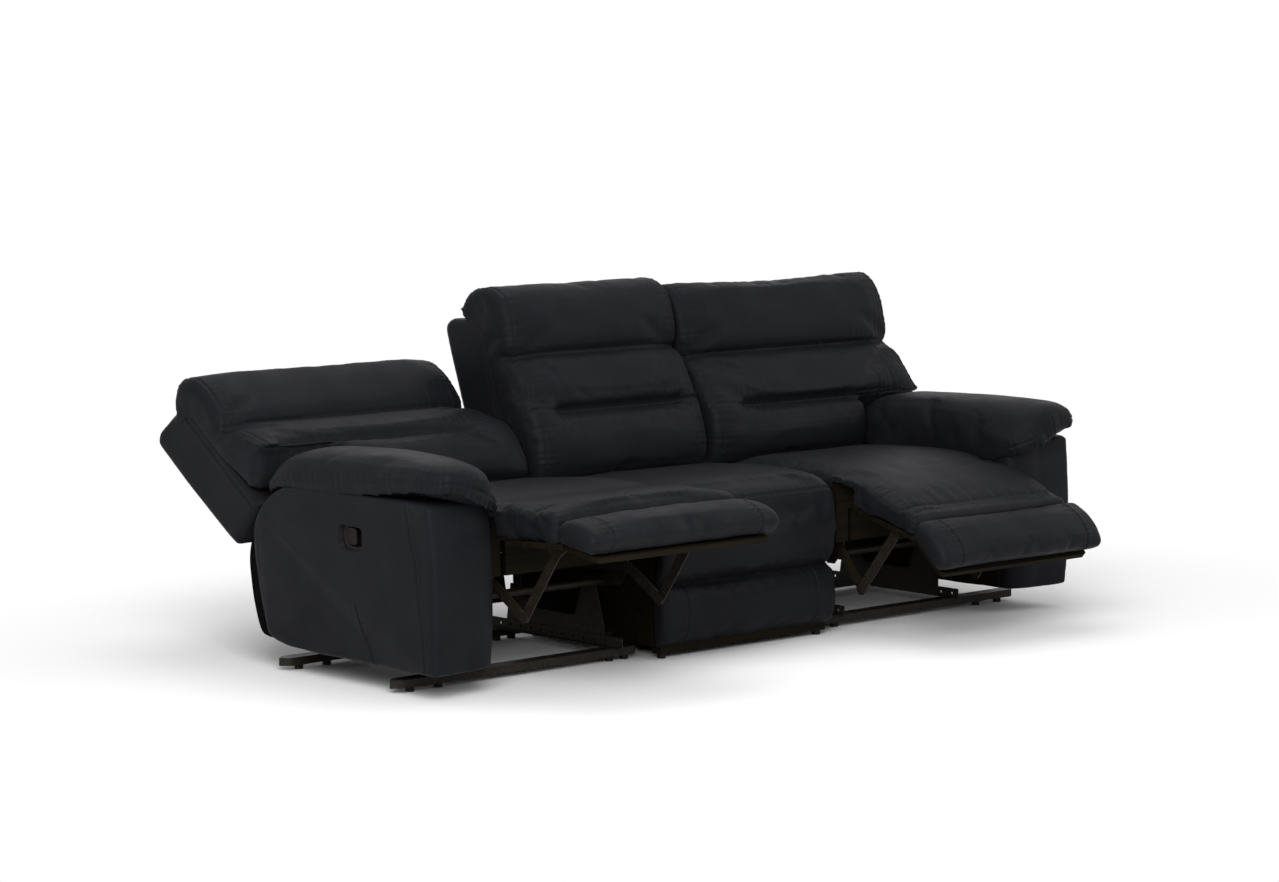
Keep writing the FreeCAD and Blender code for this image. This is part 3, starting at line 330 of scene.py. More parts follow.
def puffed_out(item, pinned, slack, pressure):
    """How far each point of a closed skin moves when air swells it as cloth."""
    start = coordinates(item)
    group = item.vertex_groups.new(name="held")
    group.add([int(i) for i in np.nonzero(pinned(start))[0]], 1.0, "REPLACE")
    cloth = item.modifiers.new("Cloth", "CLOTH")
    settings = cloth.settings
    settings.quality = 4
    settings.mass = 0.4
    settings.tension_stiffness = 12
    settings.compression_stiffness = 12
    settings.shear_stiffness = 5
    settings.bending_stiffness = 1.2
    settings.use_pressure = True
    settings.uniform_pressure_force = pressure
    settings.effector_weights.gravity = 0
    settings.vertex_group_mass = "held"
    settings.shrink_min = -slack
    cloth.collision_settings.use_collision = False
    cloth.point_cache.frame_start = 1
    cloth.point_cache.frame_end = sizes().sim_frames
    scene = bpy.context.scene
    for step in range(1, sizes().sim_frames + 1):
        scene.frame_set(step)
    graph = bpy.context.evaluated_depsgraph_get()
    end = coordinates(item.evaluated_get(graph))
    item.modifiers.clear()
    scene.frame_set(1)
    return start, end - start


def swell(item, pinned, cap, slack):
    """Puff a pad: a coarse copy is swollen as cloth and its movement is carried over."""
    coarse = bpy.data.objects.new(item.name + "_coarse", item.data.copy())
    bpy.context.scene.collection.objects.link(coarse)
    remesh(coarse, sizes().voxel * 2.4)
    places, moves = puffed_out(coarse, pinned, slack, sizes().pressure)
    mesh = coarse.data
    bpy.data.objects.remove(coarse)
    bpy.data.meshes.remove(mesh)
    tree = KDTree(len(places))
    for i, point in enumerate(places):
        tree.insert(point, i)
    tree.balance()
    co = coordinates(item)
    shift = np.zeros_like(co)
    for i, point in enumerate(co):
        near = tree.find_n(point, 4)
        weight = np.array([1 / (n[2] + 0.002) for n in near])
        shift[i] = weight @ moves[[n[1] for n in near]] / weight.sum()
    length = np.linalg.norm(shift, axis=1)[:, None] + 1e-12
    set_coordinates(item, co + shift * np.minimum(1, cap / length))


def spread(line, start, end):
    """Lay a row of points evenly across the sofa."""
    line[:, 0] = np.linspace(start, end, len(line))
    return line


def smooth_faces(item):
    item.data.polygons.foreach_set("use_smooth", [True] * len(item.data.polygons))


# Sewing
SEAM_STEP = 0.008
THREAD_THICK = 0.0006
# How far rows of stitches lie from a seam
DOUBLE_ROW = (-0.0055, 0.0055)
SINGLE_ROW = (0.005,)


def to_line(co, line, reach):
    """For the points within reach of a line: their indices, distance and place along it."""
    line = np.asarray(line, float)
    low = line.min(0) - reach
    high = line.max(0) + reach
    near = np.nonzero(np.all((co > low) & (co < high), axis=1))[0]
    best = np.full(len(near), 1e9)
    along = np.zeros(len(near))
    travelled = 0.0
    for a, b in zip(line[:-1], line[1:]):
        d = b - a
        span = np.linalg.norm(d)
        if span < 1e-9:
            continue
        t = np.clip((co[near] - a) @ d / span ** 2, 0, 1)
        gap = np.linalg.norm(co[near] - a - t[:, None] * d, axis=1)
        closer = gap < best
        best[closer] = gap[closer]
        along[closer] = travelled + t[closer] * span
        travelled += span
    inside = best < reach
    return near[inside], best[inside], along[inside], travelled


def wave(values, seed):
    """Smooth repeatable noise of one variable, about -1 to 1."""
    rng = np.random.default_rng(seed)
    out = np.zeros_like(values, float)
    for k in range(5):
        out += np.sin(values * (0.6 + 0.55 * k) * 2 * math.pi + rng.uniform(0, 7)) * rng.uniform(0.5, 1.0)
    return out / 2.6


def furrow(item, lines):
    """Sink narrow furrows along seam lines and raise the leather beside them a little."""
    co = coordinates(item)
    no = normals(item)
    width = sizes().seam_width
    depth = sizes().seam_depth
    for line in lines:
        index, gap, _, _ = to_line(co, line, width * 5)
        sink = -depth * np.exp(-(gap / width) ** 2)
        rise = 0.22 * depth * np.exp(-((gap - 2.6 * width) / width) ** 2)
        co[index] += no[index] * (sink + rise)[:, None]
    set_coordinates(item, co)


def gather(item, line, reach, height, pitch, seed, part=None):
    """Puckers that run away from a seam line. part(t) scales them along the line, t from 0 to 1."""
    co = coordinates(item)
    no = normals(item)
    index, gap, along, total = to_line(co, line, reach * 2.2)
    ridges = wave(along / pitch, seed)
    strength = np.exp(-(gap / reach) ** 2) * fade(gap / 0.006)
    if part is not None:
        strength = strength * part(along / max(total, 1e-9))
    co[index] += no[index] * (height * ridges * strength)[:, None]
    set_coordinates(item, co)


def ripple(item, height, size, seed):
    """Slow uneven swells all over a pad."""
    co = coordinates(item)
    no = normals(item)
    rng = np.random.default_rng(seed)
    field = np.zeros(len(co))
    for k in range(9):
        direction = rng.normal(size=3)
        direction /= np.linalg.norm(direction)
        pitch = size * rng.uniform(0.6, 1.6)
        field += np.sin(co @ direction * 2 * math.pi / pitch + rng.uniform(0, 7)) * rng.uniform(0.4, 1)
    set_coordinates(item, co + no * (height * field / 3.5)[:, None])


def soften(item, pinned, cap, slack, height, size, seed):
    """Swell a pad, refine its skin and give it slow uneven swells."""
    swell(item, pinned, cap, slack)
    apply_modifier(item, "SUBSURF", levels=1)
    ripple(item, height, size, seed)


def on_skin(item, line):
    """Drop a line onto a pad's skin: points and normals there."""
    line = np.asarray(line, float)
    length = np.linalg.norm(np.diff(line, axis=0), axis=1).sum()
    line = evenly(line, max(8, int(length / SEAM_STEP)))
    graph = bpy.context.evaluated_depsgraph_get()
    points = []
    outs = []
    for p in line:
        _, place, normal, _ = item.closest_point_on_mesh(Vector(p), depsgraph=graph)
        points.append(place[:])
        outs.append(normal[:])
    return np.array(points), np.array(outs)


def stitch_mesh(points, outs, offset):
    """Short raised stitches along a line, a little to one side of it."""
    pitch = sizes().stitch_pitch
    length = np.linalg.norm(np.diff(points, axis=0), axis=1).sum()
    count = max(2, int(length / pitch))
    line = evenly(points, count)
    step = np.linalg.norm(np.diff(points, axis=0), axis=1)
    along = np.concatenate([[0], np.cumsum(step)])
    wanted = np.linspace(0, along[-1], count)
    up = np.column_stack([np.interp(wanted, along, outs[:, k]) for k in range(3)])
    up /= np.linalg.norm(up, axis=1)[:, None] + 1e-12
    ahead = np.gradient(line, axis=0)
    ahead /= np.linalg.norm(ahead, axis=1)[:, None] + 1e-12
    side = np.cross(up, ahead)
    vertices = []
    faces = []
    half = pitch * 0.33
    for i in range(count):
        middle = line[i] + side[i] * offset + up[i] * 0.0004
        base = len(vertices)
        across = side[i] * THREAD_THICK
        above = up[i] * THREAD_THICK
        vertices += [middle - ahead[i] * half, middle + across, middle + above, middle - across,
                     middle - above, middle + ahead[i] * half]
        for k in range(4):
            a = base + 1 + k
            b = base + 1 + (k + 1) % 4
            faces += [(base, b, a), (base + 5, a, b)]
    return vertices, faces


def sew(item, lines, double=True):
    """Furrow the seams, then lay rows of stitches beside them on the same mesh."""
    bpy.context.view_layer.update()
    lines = [on_skin(item, line)[0] for line in lines]
    furrow(item, lines)
    bpy.context.view_layer.update()
    vertices = []
    faces = []
    for line in lines:
        points, outs = on_skin(item, line)
        for offset in (DOUBLE_ROW if double else SINGLE_ROW):
            v, f = stitch_mesh(points, outs, offset)
            faces += [tuple(k + len(vertices) for k in face) for face in f]
            vertices += v
    thread = mesh_object(item.name + "_thread", vertices, faces)
    thread.data.materials.append(thread_material())
    item.data.materials.clear()
    item.data.materials.append(leather_material())
    with bpy.context.temp_override(active_object=item, selected_editable_objects=[item, thread]):
        bpy.ops.object.join()
    smooth_faces(item)


def upholster(item, body, nodes):
    """Hide the CAD nodes that a finished leather pad replaces, and attach the pad to its body if it has one."""
    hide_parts(*nodes)
    if body:
        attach(item, body)


# Materials
MADE = {}
WORN_PAINT = (0.030, 0.025, 0.020)
REAR_CLOTH_PITCH = 0.003
STRAP_COLOUR = (0.008, 0.008, 0.0085)
STRAP_PITCH = 0.004


def new_material(name):
    material = bpy.data.materials.new("sofa_" + name)
    MADE[name] = material
    material.use_nodes = True
    tree = material.node_tree
    return material, tree, tree.nodes["Principled BSDF"]


def give(node, values):
    """Set a node's sockets by name."""
    for key, value in values.items():
        node.inputs[key].default_value = value


def add(tree, kind, values=None, **settings):
    """A new node with its settings and socket values."""
    node = tree.nodes.new(kind)
    for key, value in settings.items():
        setattr(node, key, value)
    give(node, values or {})
    return node


def place_of(tree):
    """The object coordinates that a material's patterns are laid in."""
    node = tree.nodes.get("Place") or add(tree, "ShaderNodeTexCoord", name="Place")
    return node.outputs["Object"]


def noise_of(tree, scale, detail=4.0, roughness=0.55):
    node = add(tree, "ShaderNodeTexNoise", {"Scale": scale, "Detail": detail, "Roughness": roughness})
    tree.links.new(place_of(tree), node.inputs["Vector"])
    return node.outputs["Fac"]


def ramp_of(tree, fac, low, high):
    """Map a value to numbers or colours between two (position, value) stops."""
    node = add(tree, "ShaderNodeValToRGB")
    for element, (at, value) in zip(node.color_ramp.elements, (low, high)):
        element.position = at
        element.color = (*(value if isinstance(value, tuple) else (value,) * 3), 1)
    tree.links.new(fac, node.inputs["Fac"])
    return node.outputs["Color"]


def bump_of(tree, height, strength, distance, below=None):
    node = add(tree, "ShaderNodeBump", {"Strength": strength, "Distance": distance})
    tree.links.new(height, node.inputs["Height"])
    if below is not None:
        tree.links.new(below, node.inputs["Normal"])
    return node.outputs["Normal"]


def cells_of(tree, scale, vector, rise):
    """Cracked cells: low along their edges, full height from a rise inwards."""
    node = add(tree, "ShaderNodeTexVoronoi", {"Scale": scale}, feature="DISTANCE_TO_EDGE")
    tree.links.new(vector, node.inputs["Vector"])
    return ramp_of(tree, node.outputs["Distance"], (0.0, 0.0), (rise, 1.0))


def cloudy(tree, fac, colour, low, high):
    """Vary a colour between two shades of itself: low and high are (position, factor)."""
    stops = [(at, tuple(min(1.0, c * factor) for c in colour)) for at, factor in (low, high)]
    return ramp_of(tree, fac, *stops)


def leather_material():
    """Fine-grained semi-matt leather with soft creases and slightly uneven colour."""
    if "leather" in MADE:
        return MADE["leather"]
    material, tree, skin = new_material("leather")
    link = tree.links.new
    link(cloudy(tree, noise_of(tree, 5.0, 3.0), finish().leather, (0.3, 0.86), (0.72, 1.14)),
         skin.inputs["Base Color"])
    link(ramp_of(tree, noise_of(tree, 16.0, 5.0, 0.6), (0.3, 0.40), (0.7, 0.52)),
         skin.inputs["Roughness"])
    give(skin, {"Specular IOR Level": 0.045, "Sheen Weight": 0.0})
    warp = add(tree, "ShaderNodeTexNoise", {"Scale": 30.0})
    link(place_of(tree), warp.inputs["Vector"])
    mix = add(tree, "ShaderNodeMix", {"Factor": 0.02}, data_type="VECTOR")
    link(place_of(tree), mix.inputs[4])
    link(warp.outputs["Color"], mix.inputs[5])
    low = bump_of(tree, noise_of(tree, 38.0, 3.0), 0.22, 0.0016)
    mid = bump_of(tree, cells_of(tree, 70.0, mix.outputs[1], 0.06), 0.06, 0.0006, low)
    link(bump_of(tree, cells_of(tree, 620.0, place_of(tree), 0.22), 0.32, 0.00022, mid),
         skin.inputs["Normal"])
    return material


def thread_material():
    """Twisted dark thread."""
    if "thread" in MADE:
        return MADE["thread"]
    material, tree, skin = new_material("thread")
    tree.links.new(cloudy(tree, noise_of(tree, 900.0, 2.0), finish().thread, (0.3, 0.7), (0.7, 1.4)),
                   skin.inputs["Base Color"])
    give(skin, {"Roughness": 0.6, "Specular IOR Level": 0.05})
    return material


def paint_material(name, colour, rough=0.42):
    """Satin paint over steel, thinner and brighter along its edges."""
    if name in MADE:
        return MADE[name]
    material, tree, skin = new_material(name)
    link = tree.links.new
    cloud = noise_of(tree, 22.0, 6.0, 0.6)
    edge = add(tree, "ShaderNodeNewGeometry")
    both = add(tree, "ShaderNodeMath", operation="MULTIPLY")
    link(ramp_of(tree, edge.outputs["Pointiness"], (0.52, 0.0), (0.6, 1.0)), both.inputs[0])
    link(ramp_of(tree, noise_of(tree, 160.0, 5.0, 0.7), (0.5, 0.0), (0.62, 1.0)), both.inputs[1])
    mix = add(tree, "ShaderNodeMix", data_type="RGBA")
    link(both.outputs[0], mix.inputs["Factor"])
    link(cloudy(tree, cloud, colour, (0.25, 0.75), (0.75, 1.3)), mix.inputs[6])
    mix.inputs[7].default_value = (*WORN_PAINT, 1)
    link(mix.outputs[2], skin.inputs["Base Color"])
    link(ramp_of(tree, cloud, (0.3, rough - 0.06), (0.7, rough + 0.1)), skin.inputs["Roughness"])
    give(skin, {"Specular IOR Level": 0.10})
    link(bump_of(tree, noise_of(tree, 420.0, 2.0), 0.12, 0.0002), skin.inputs["Normal"])
    return material


def board_material():
    """Dark stained board with long grain."""
    if "board" in MADE:
        return MADE["board"]
    material, tree, skin = new_material("board")
    link = tree.links.new
    stretch = add(tree, "ShaderNodeMapping", {"Scale": (4.0, 60.0, 90.0)})
    link(place_of(tree), stretch.inputs["Vector"])
    grain = add(tree, "ShaderNodeTexNoise", {"Scale": 1.0, "Detail": 8.0, "Distortion": 0.6})
    link(stretch.outputs["Vector"], grain.inputs["Vector"])
    link(cloudy(tree, grain.outputs["Fac"], finish().wood, (0.3, 0.6), (0.7, 1.35)),
         skin.inputs["Base Color"])
    give(skin, {"Roughness": 0.68, "Specular IOR Level": 0.04})
    link(bump_of(tree, grain.outputs["Fac"], 0.25, 0.0004), skin.inputs["Normal"])
    return material


def woven_material(name, colour, pitch):
    """Plain woven or pressed cloth with crossing threads."""
    if name in MADE:
        return MADE[name]
    material, tree, skin = new_material(name)
    link = tree.links.new
    cross = add(tree, "ShaderNodeMath", operation="MAXIMUM")
    for k, axis in enumerate(("X", "Z")):
        band = add(tree, "ShaderNodeTexWave", {"Scale": 1 / pitch / 3.2, "Distortion": 0.4},
                   wave_type="BANDS", bands_direction=axis)
        link(place_of(tree), band.inputs["Vector"])
        link(band.outputs["Fac"], cross.inputs[k])
    link(cloudy(tree, noise_of(tree, 40.0, 5.0), colour, (0.3, 0.7), (0.7, 1.4)), skin.inputs["Base Color"])
    give(skin, {"Roughness": 0.9, "Specular IOR Level": 0.02})
    link(bump_of(tree, cross.outputs[0], 0.5, 0.0004), skin.inputs["Normal"])
    return material


def handle_material():
    """Moulded brown plastic with a faint texture."""
    if "handle_plastic" in MADE:
        return MADE["handle_plastic"]
    material, tree, skin = new_material("handle_plastic")
    link = tree.links.new
    tone = noise_of(tree, 60.0, 4.0)
    link(cloudy(tree, tone, finish().handle, (0.3, 0.85), (0.7, 1.2)), skin.inputs["Base Color"])
    link(ramp_of(tree, tone, (0.3, 0.34), (0.7, 0.46)), skin.inputs["Roughness"])
    give(skin, {"Specular IOR Level": 0.12})
    link(bump_of(tree, noise_of(tree, 1400.0, 2.0), 0.1, 0.0001), skin.inputs["Normal"])
    return material


def dress(node, material):
    """Give a carried-over CAD node its finish."""
    item = frame["nodes"][node]
    item.data.materials.clear()
    item.data.materials.append(material)


# Arms
ARM_SIDE = (
    [(-0.190, 0.068), (-0.196, 0.20), (-0.192, 0.36), (-0.180, 0.496)],
    [(-0.180, 0.496), (-0.155, 0.512), (0.05, 0.514), (0.36, 0.512), (0.45, 0.494), (0.515, 0.452),
     (0.557, 0.400), (0.569, 0.335), (0.556, 0.21), (0.526, 0.098)],
    [(0.526, 0.098), (0.500, 0.084), (0.42, 0.070), (0.30, 0.066)],
    [(0.30, 0.066), (-0.190, 0.068)],
)
ARM_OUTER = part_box("right_arm_cover")[1].x
ARM_FLARE = 0.0859
ARM_TOP = 0.508
ARM_BOARD_FRONT = 0.142
ARM_BOARD_TOP = 0.425
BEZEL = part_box("right_handle_bezel")
HANDLE_HALF = tuple((BEZEL[1] - BEZEL[0])[k] / 2 for k in (1, 2))
HANDLE_HOLLOW = 0.034
# Width and depth of the round on an arm's inner front corner, and how its outer corner comes forward
CORNER_WIDTH = 0.100
CORNER_DEPTH = 0.046
OUTER_WIDTH = 0.120
OUTER_FORWARD = 0.014
ARM_PUFF_FRONT = 0.010
ARM_PUFF_SIDE = 0.006


def handle_axes(side):
    """Centre of a pull handle on the arm's face, the way out of it and the way up it."""
    low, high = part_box(side + "_handle_bezel")
    up = np.array(JOINTS[side + "_handle_pull"]["axis"], float)
    out = np.array([SIDES[side] * up[2], 0, -abs(up[0])])
    face = np.array([(low.x + high.x) / 2, (low.y + high.y) / 2, (low.z + high.z) / 2])
    return face + out * 0.003, out, up


def arm_share(points):
    """How far points lie across an arm, from 0 inside to 1 outside."""
    return np.clip((np.abs(points[:, 0]) - ARM_INNER) / (ARM_OUTER - ARM_INNER), 0, 1)


def flare(points, side):
    """Lean an arm's outer face outwards with height, less so at its front."""
    out = points.copy()
    share = arm_share(points)
    down = ARM_TOP - points[:, 2]
    low = np.clip(down - 0.17, 0, 0.27)
    behind = 0.4 + 0.6 * fade((points[:, 1] - FRONT + 0.20) / 0.25)
    out[:, 0] -= SIDES[side] * share * behind * ARM_FLARE * (down - low ** 2 / 0.54)
    return out


def round_front(points):
    """Round an arm's inner front corner and bring its outer one forward."""
    out = points.copy()
    x = np.abs(points[:, 0])
    inner = np.clip((ARM_INNER + CORNER_WIDTH - x) / CORNER_WIDTH, 0, 1)
    outer = np.clip((x - ARM_OUTER + OUTER_WIDTH) / OUTER_WIDTH, 0, 1)
    back = CORNER_DEPTH * (1 - np.sqrt(1 - inner ** 2)) - OUTER_FORWARD * outer
    out[:, 1] += back * fade((FRONT - 0.04 - points[:, 1]) / 0.12)
    return out


def make_arm(side):
    """Leather arm body with side and front panels, hollowed behind the handle."""
    sign = SIDES[side]
    ring = ring_of(*ARM_SIDE, count=190)
    rings = []
    for x, depth in stations(ARM_INNER + 0.010, ARM_OUTER + 0.007, 0.014, 14):
        rings.append(flare(round_front(flat(inset(ring, depth), sign * x)), side))
    arm = loft(side + "_arm", rings)
    remesh(arm, sizes().voxel)
    apply_modifier(arm, "SUBSURF", levels=1)
    edge = ARM_OUTER - 0.006
    front_line = [(-0.168, 0.068), (-0.158, 0.20), (-0.138, 0.36), (-0.104, 0.500)]
    front_seam = flare(flat(front_line, sign * edge), side)
    co = coordinates(arm)
    no = normals(arm)
    puff = fade((co[:, 2] - 0.07) / 0.12) * fade((0.51 - co[:, 2]) / 0.12)
    forward = np.clip(-no[:, 1], 0, 1) * np.sin(arm_share(co) * math.pi) ** 0.6
    co += no * (ARM_PUFF_FRONT * puff * forward)[:, None]
    outward_part = np.clip(no[:, 0] * sign, 0, 1) ** 2
    depth = fade((co[:, 1] - FRONT + 0.20) / 0.16) * fade((0.56 - co[:, 1] + FRONT) / 0.2)
    co += no * (ARM_PUFF_SIDE * puff * outward_part * depth)[:, None]
    set_coordinates(arm, co)
    ripple(arm, 0.0010, 0.16, 11 if sign > 0 else 12)
    short_seam = flare(flat([(0.105, 0.225), (0.085, 0.15), (0.060, 0.072)], sign * ARM_OUTER), side)
    gather(arm, front_seam, 0.05, 0.0012, 0.05, 4)
    centre, out, up = handle_axes(side)
    hollow(arm, centre, out, up, HANDLE_HALF[0] - 0.006, HANDLE_HALF[1] - 0.006, HANDLE_HOLLOW)
    sew(arm, [front_seam, short_seam], double=False)
    upholster(arm, "root", [side + "_arm_cover"])
    make_arm_board(side)
    make_rear_cloth(side)


def make_arm_board(side):
    """Board on an arm's inner face, set back from the rounded front."""
    ring = ring_of(*ARM_SIDE, count=150)
    rings = []
    for x, depth in ((ARM_INNER, 0.010), (ARM_INNER + 0.0015, 0.008), (ARM_INNER + 0.019, 0.008)):
        board = flat(inset(ring, depth), SIDES[side] * x)
        board[:, 1] = np.maximum(board[:, 1], FRONT - ARM_BOARD_FRONT)
        board[:, 2] = np.minimum(board[:, 2], ARM_BOARD_TOP)
        rings.append(board)
    board = loft(side + "_arm_board", rings)
    board.data.materials.append(board_material())
    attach(board, "root")
    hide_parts(side + "_arm_frame")


def hollow(item, centre, out, up, half_y, half_z, depth):
    """Push a rounded patch of a skin inwards."""
    co = coordinates(item)
    away = co - centre
    y = away[:, 1] / half_y
    z = (away @ up) / half_z
    inside = (np.abs(y) ** 5 + np.abs(z) ** 5 < 1) & (np.abs(away @ out) < 0.03)
    co[inside] -= out * depth
    set_coordinates(item, co)


def make_rear_cloth(side):
    """Black non-woven cloth stretched over an arm's rear edge."""
    sign = SIDES[side]
    ring = ring_of(
        [(0.545, 0.392), (0.578, 0.358), (0.600, 0.300), (0.600, 0.24), (0.589, 0.17), (0.562, 0.100),
         (0.520, 0.084)],
        [(0.520, 0.084), (0.495, 0.100), (0.520, 0.12), (0.540, 0.20), (0.546, 0.33), (0.545, 0.392)],
        count=90)
    rings = []
    for x, depth in stations(ARM_INNER + 0.006, ARM_OUTER - 0.004, 0.006, 8):
        rings.append(flare(flat(inset(ring, depth * 0.6), sign * x), side))
    cloth = loft(side + "_arm_rear_cloth", rings)
    smooth_faces(cloth)
    cloth.data.materials.append(woven_material("base_cloth", finish().cloth, REAR_CLOTH_PITCH))
    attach(cloth, "root")


def pad_ring(ends, low, high, count=96):
    """Section of an arm pad across the sofa, as (x, z): low and high give its inner and outer heights."""
    inner, outer = ends
    span = outer - inner
    side_in = [(inner + 0.006, low[0]), (inner, low[0] + 0.3 * (high[0] - low[0])),
               (inner + 0.002, high[0] - 0.3 * (high[0] - low[0])), (inner + 0.014, high[0] - 0.010)]
    side_out = [(outer - 0.012, high[2] - 0.010), (outer, high[2] - 0.036), (outer + 0.002, low[1] + 0.035),
                (outer - 0.006, low[1])]
    top = [side_in[-1], (inner + 0.22 * span, (high[0] + 2 * high[1]) / 3), (inner + 0.5 * span, high[1]),
           (inner + 0.8 * span, (high[1] + high[2]) / 2), side_out[0]]
    under = [side_out[-1], (outer - 0.03, low[1] + 0.006), (inner + 0.05, (low[0] + low[1]) / 2), side_in[0]]
    return ring_of(side_in, top, side_out, under, count=count)


PAD_STATIONS = (
    # depth, squeeze inside and outside, low inside and outside, top inside, middle and outside
    (-0.240, 0.120, 0.060, 0.512, 0.545, 0.530, 0.566, 0.566),
    (-0.235, 0.085, 0.034, 0.495, 0.536, 0.536, 0.583, 0.584),
    (-0.220, 0.046, 0.014, 0.482, 0.532, 0.534, 0.595, 0.596),
    (-0.196, 0.016, 0.005, 0.468, 0.532, 0.528, 0.603, 0.602),
    (-0.160, 0.004, 0.000, 0.454, 0.534, 0.538, 0.609, 0.605),
    (-0.100, 0.000, 0.000, 0.447, 0.530, 0.556, 0.613, 0.606),
    (0.000, 0.000, 0.000, 0.446, 0.517, 0.582, 0.615, 0.605),
    (0.100, 0.000, 0.000, 0.446, 0.506, 0.592, 0.614, 0.602),
    (0.200, 0.000, 0.000, 0.446, 0.499, 0.592, 0.611, 0.598),
    (0.300, 0.000, 0.000, 0.446, 0.495, 0.588, 0.607, 0.594),
    (0.370, 0.000, 0.002, 0.446, 0.496, 0.576, 0.599, 0.586),
    (0.430, 0.004, 0.006, 0.448, 0.496, 0.556, 0.582, 0.570),
    (0.475, 0.012, 0.016, 0.452, 0.486, 0.526, 0.553, 0.545),
    (0.500, 0.028, 0.030, 0.458, 0.478, 0.498, 0.516, 0.512),
    (0.508, 0.055, 0.055, 0.464, 0.474, 0.482, 0.488, 0.486),
)


def make_arm_pad(side):
    """Pillow-top arm pad whose front end is gathered and droops over the arm."""
    sign = SIDES[side]
    inner = ARM_INNER
    outer = ARM_OUTER + 0.015
    rings = []
    for y, tight_in, tight_out, low_in, low_out, *high in spline(PAD_STATIONS, 3):
        section = pad_ring((inner + tight_in, outer - tight_out), (low_in, low_out), high)
        rings.append(np.column_stack([sign * section[:, 0], np.full(len(section), y + FRONT), section[:, 1]]))
    pad = loft(side + "_arm_pillow", rings)
    remesh(pad, sizes().voxel)
    soften(pad, lambda co: co[:, 2] < 0.49, 0.008, 0.02, 0.0010, 0.10, 21 if sign > 0 else 22)
    band = flat([(0.46, 0.514), (0.34, 0.528), (0.15, 0.541), (0.0, 0.556), (-0.14, 0.570)], sign * outer)
    front_band = np.array([(sign * x, y + FRONT, z) for x, y, z in (
        (outer, -0.14, 0.570), (outer - 0.012, -0.205, 0.566), (outer - 0.06, -0.236, 0.566),
        (outer - 0.13, -0.234, 0.548), (inner + 0.05, -0.222, 0.515), (inner, -0.18, 0.490))])
    front_low = np.array([(sign * x, y + FRONT, z) for x, y, z in (
        (outer, -0.13, 0.537), (outer - 0.006, -0.19, 0.533), (outer - 0.05, -0.225, 0.530),
        (outer - 0.13, -0.225, 0.508), (inner + 0.04, -0.21, 0.478))])
    seam = np.vstack([spline(band, 6), spline(front_band, 6)])
    gather(pad, spline(front_low, 6), 0.060, 0.0017, 0.036, 31 if sign > 0 else 32)
    gather(pad, spline(front_band, 6), 0.045, 0.0010, 0.040, 33 if sign > 0 else 34)
    gather(pad, seam, 0.03, 0.0005, 0.06, 35)
    sew(pad, [seam], double=False)
    upholster(pad, "root", [side + "_arm_pad"])


# Seats and footrests
SEAT_TOP = [(0.395, 0.398), (0.390, 0.432), (0.33, 0.452), (0.22, 0.462), (0.10, 0.467), (0.0, 0.466),
            (-0.08, 0.460), (-0.135, 0.451)]
CALF_FACE = {
    # length along the calf pad from its hinge, height over the hinge line
    "right": [(0.02, 0.020), (0.07, 0.019), (0.13, 0.014), (0.175, 0.009), (0.192, 0.003), (0.205, 0.008),
              (0.228, 0.013), (0.250, 0.009), (0.264, -0.008), (0.262, -0.030)],
    "left": [(0.02, 0.026), (0.06, 0.029), (0.11, 0.028), (0.135, 0.024), (0.146, 0.017), (0.160, 0.025),
             (0.20, 0.031), (0.228, 0.024), (0.241, 0.008), (0.243, -0.020)],
}
CALF_SEAM = {"right": 0.192, "left": 0.146}
CALF_UNDER = [(0.243, -0.048), (0.20, -0.057), (0.03, -0.057), (0.004, -0.050), (0.002, -0.012)]
SEAT_UNDER = [(-0.150, 0.4315), (-0.0747, 0.4315), (-0.0747, 0.3535), (0.395, 0.3535)]
OTTOMAN_START = {"right": 0.236, "left": 0.249}
OTTOMAN_FACE = [(0.272, 0.010), (0.300, 0.016), (0.340, 0.015), (0.374, 0.005), (0.391, -0.010),
                (0.393, -0.028), (0.378, -0.054)]


def on_calf(pairs, x=0.0):
    """Points given by length and height over the calf pad, in the shut pose."""
    table = np.array(pairs, float)
    return np.column_stack([np.full(len(table), x), HINGE[1] - table[:, 1], HINGE[2] - table[:, 0]])


def unit_span(margin):
    """A recliner seat's ends between the middle unit and the arm."""
    return MIDDLE_HALF + margin, ARM_INNER - margin


def chaise_line(side, x, rise=0.0):
    """The top line of seat and calf pad, in the rest pose."""
    top = flat(SEAT_TOP, x)
    top[:, 2] += rise
    face = on_calf(CALF_FACE[side], x)
    face[:, 1] -= rise * 0.3
    return seat_place(side, top), calf_place(side, face)


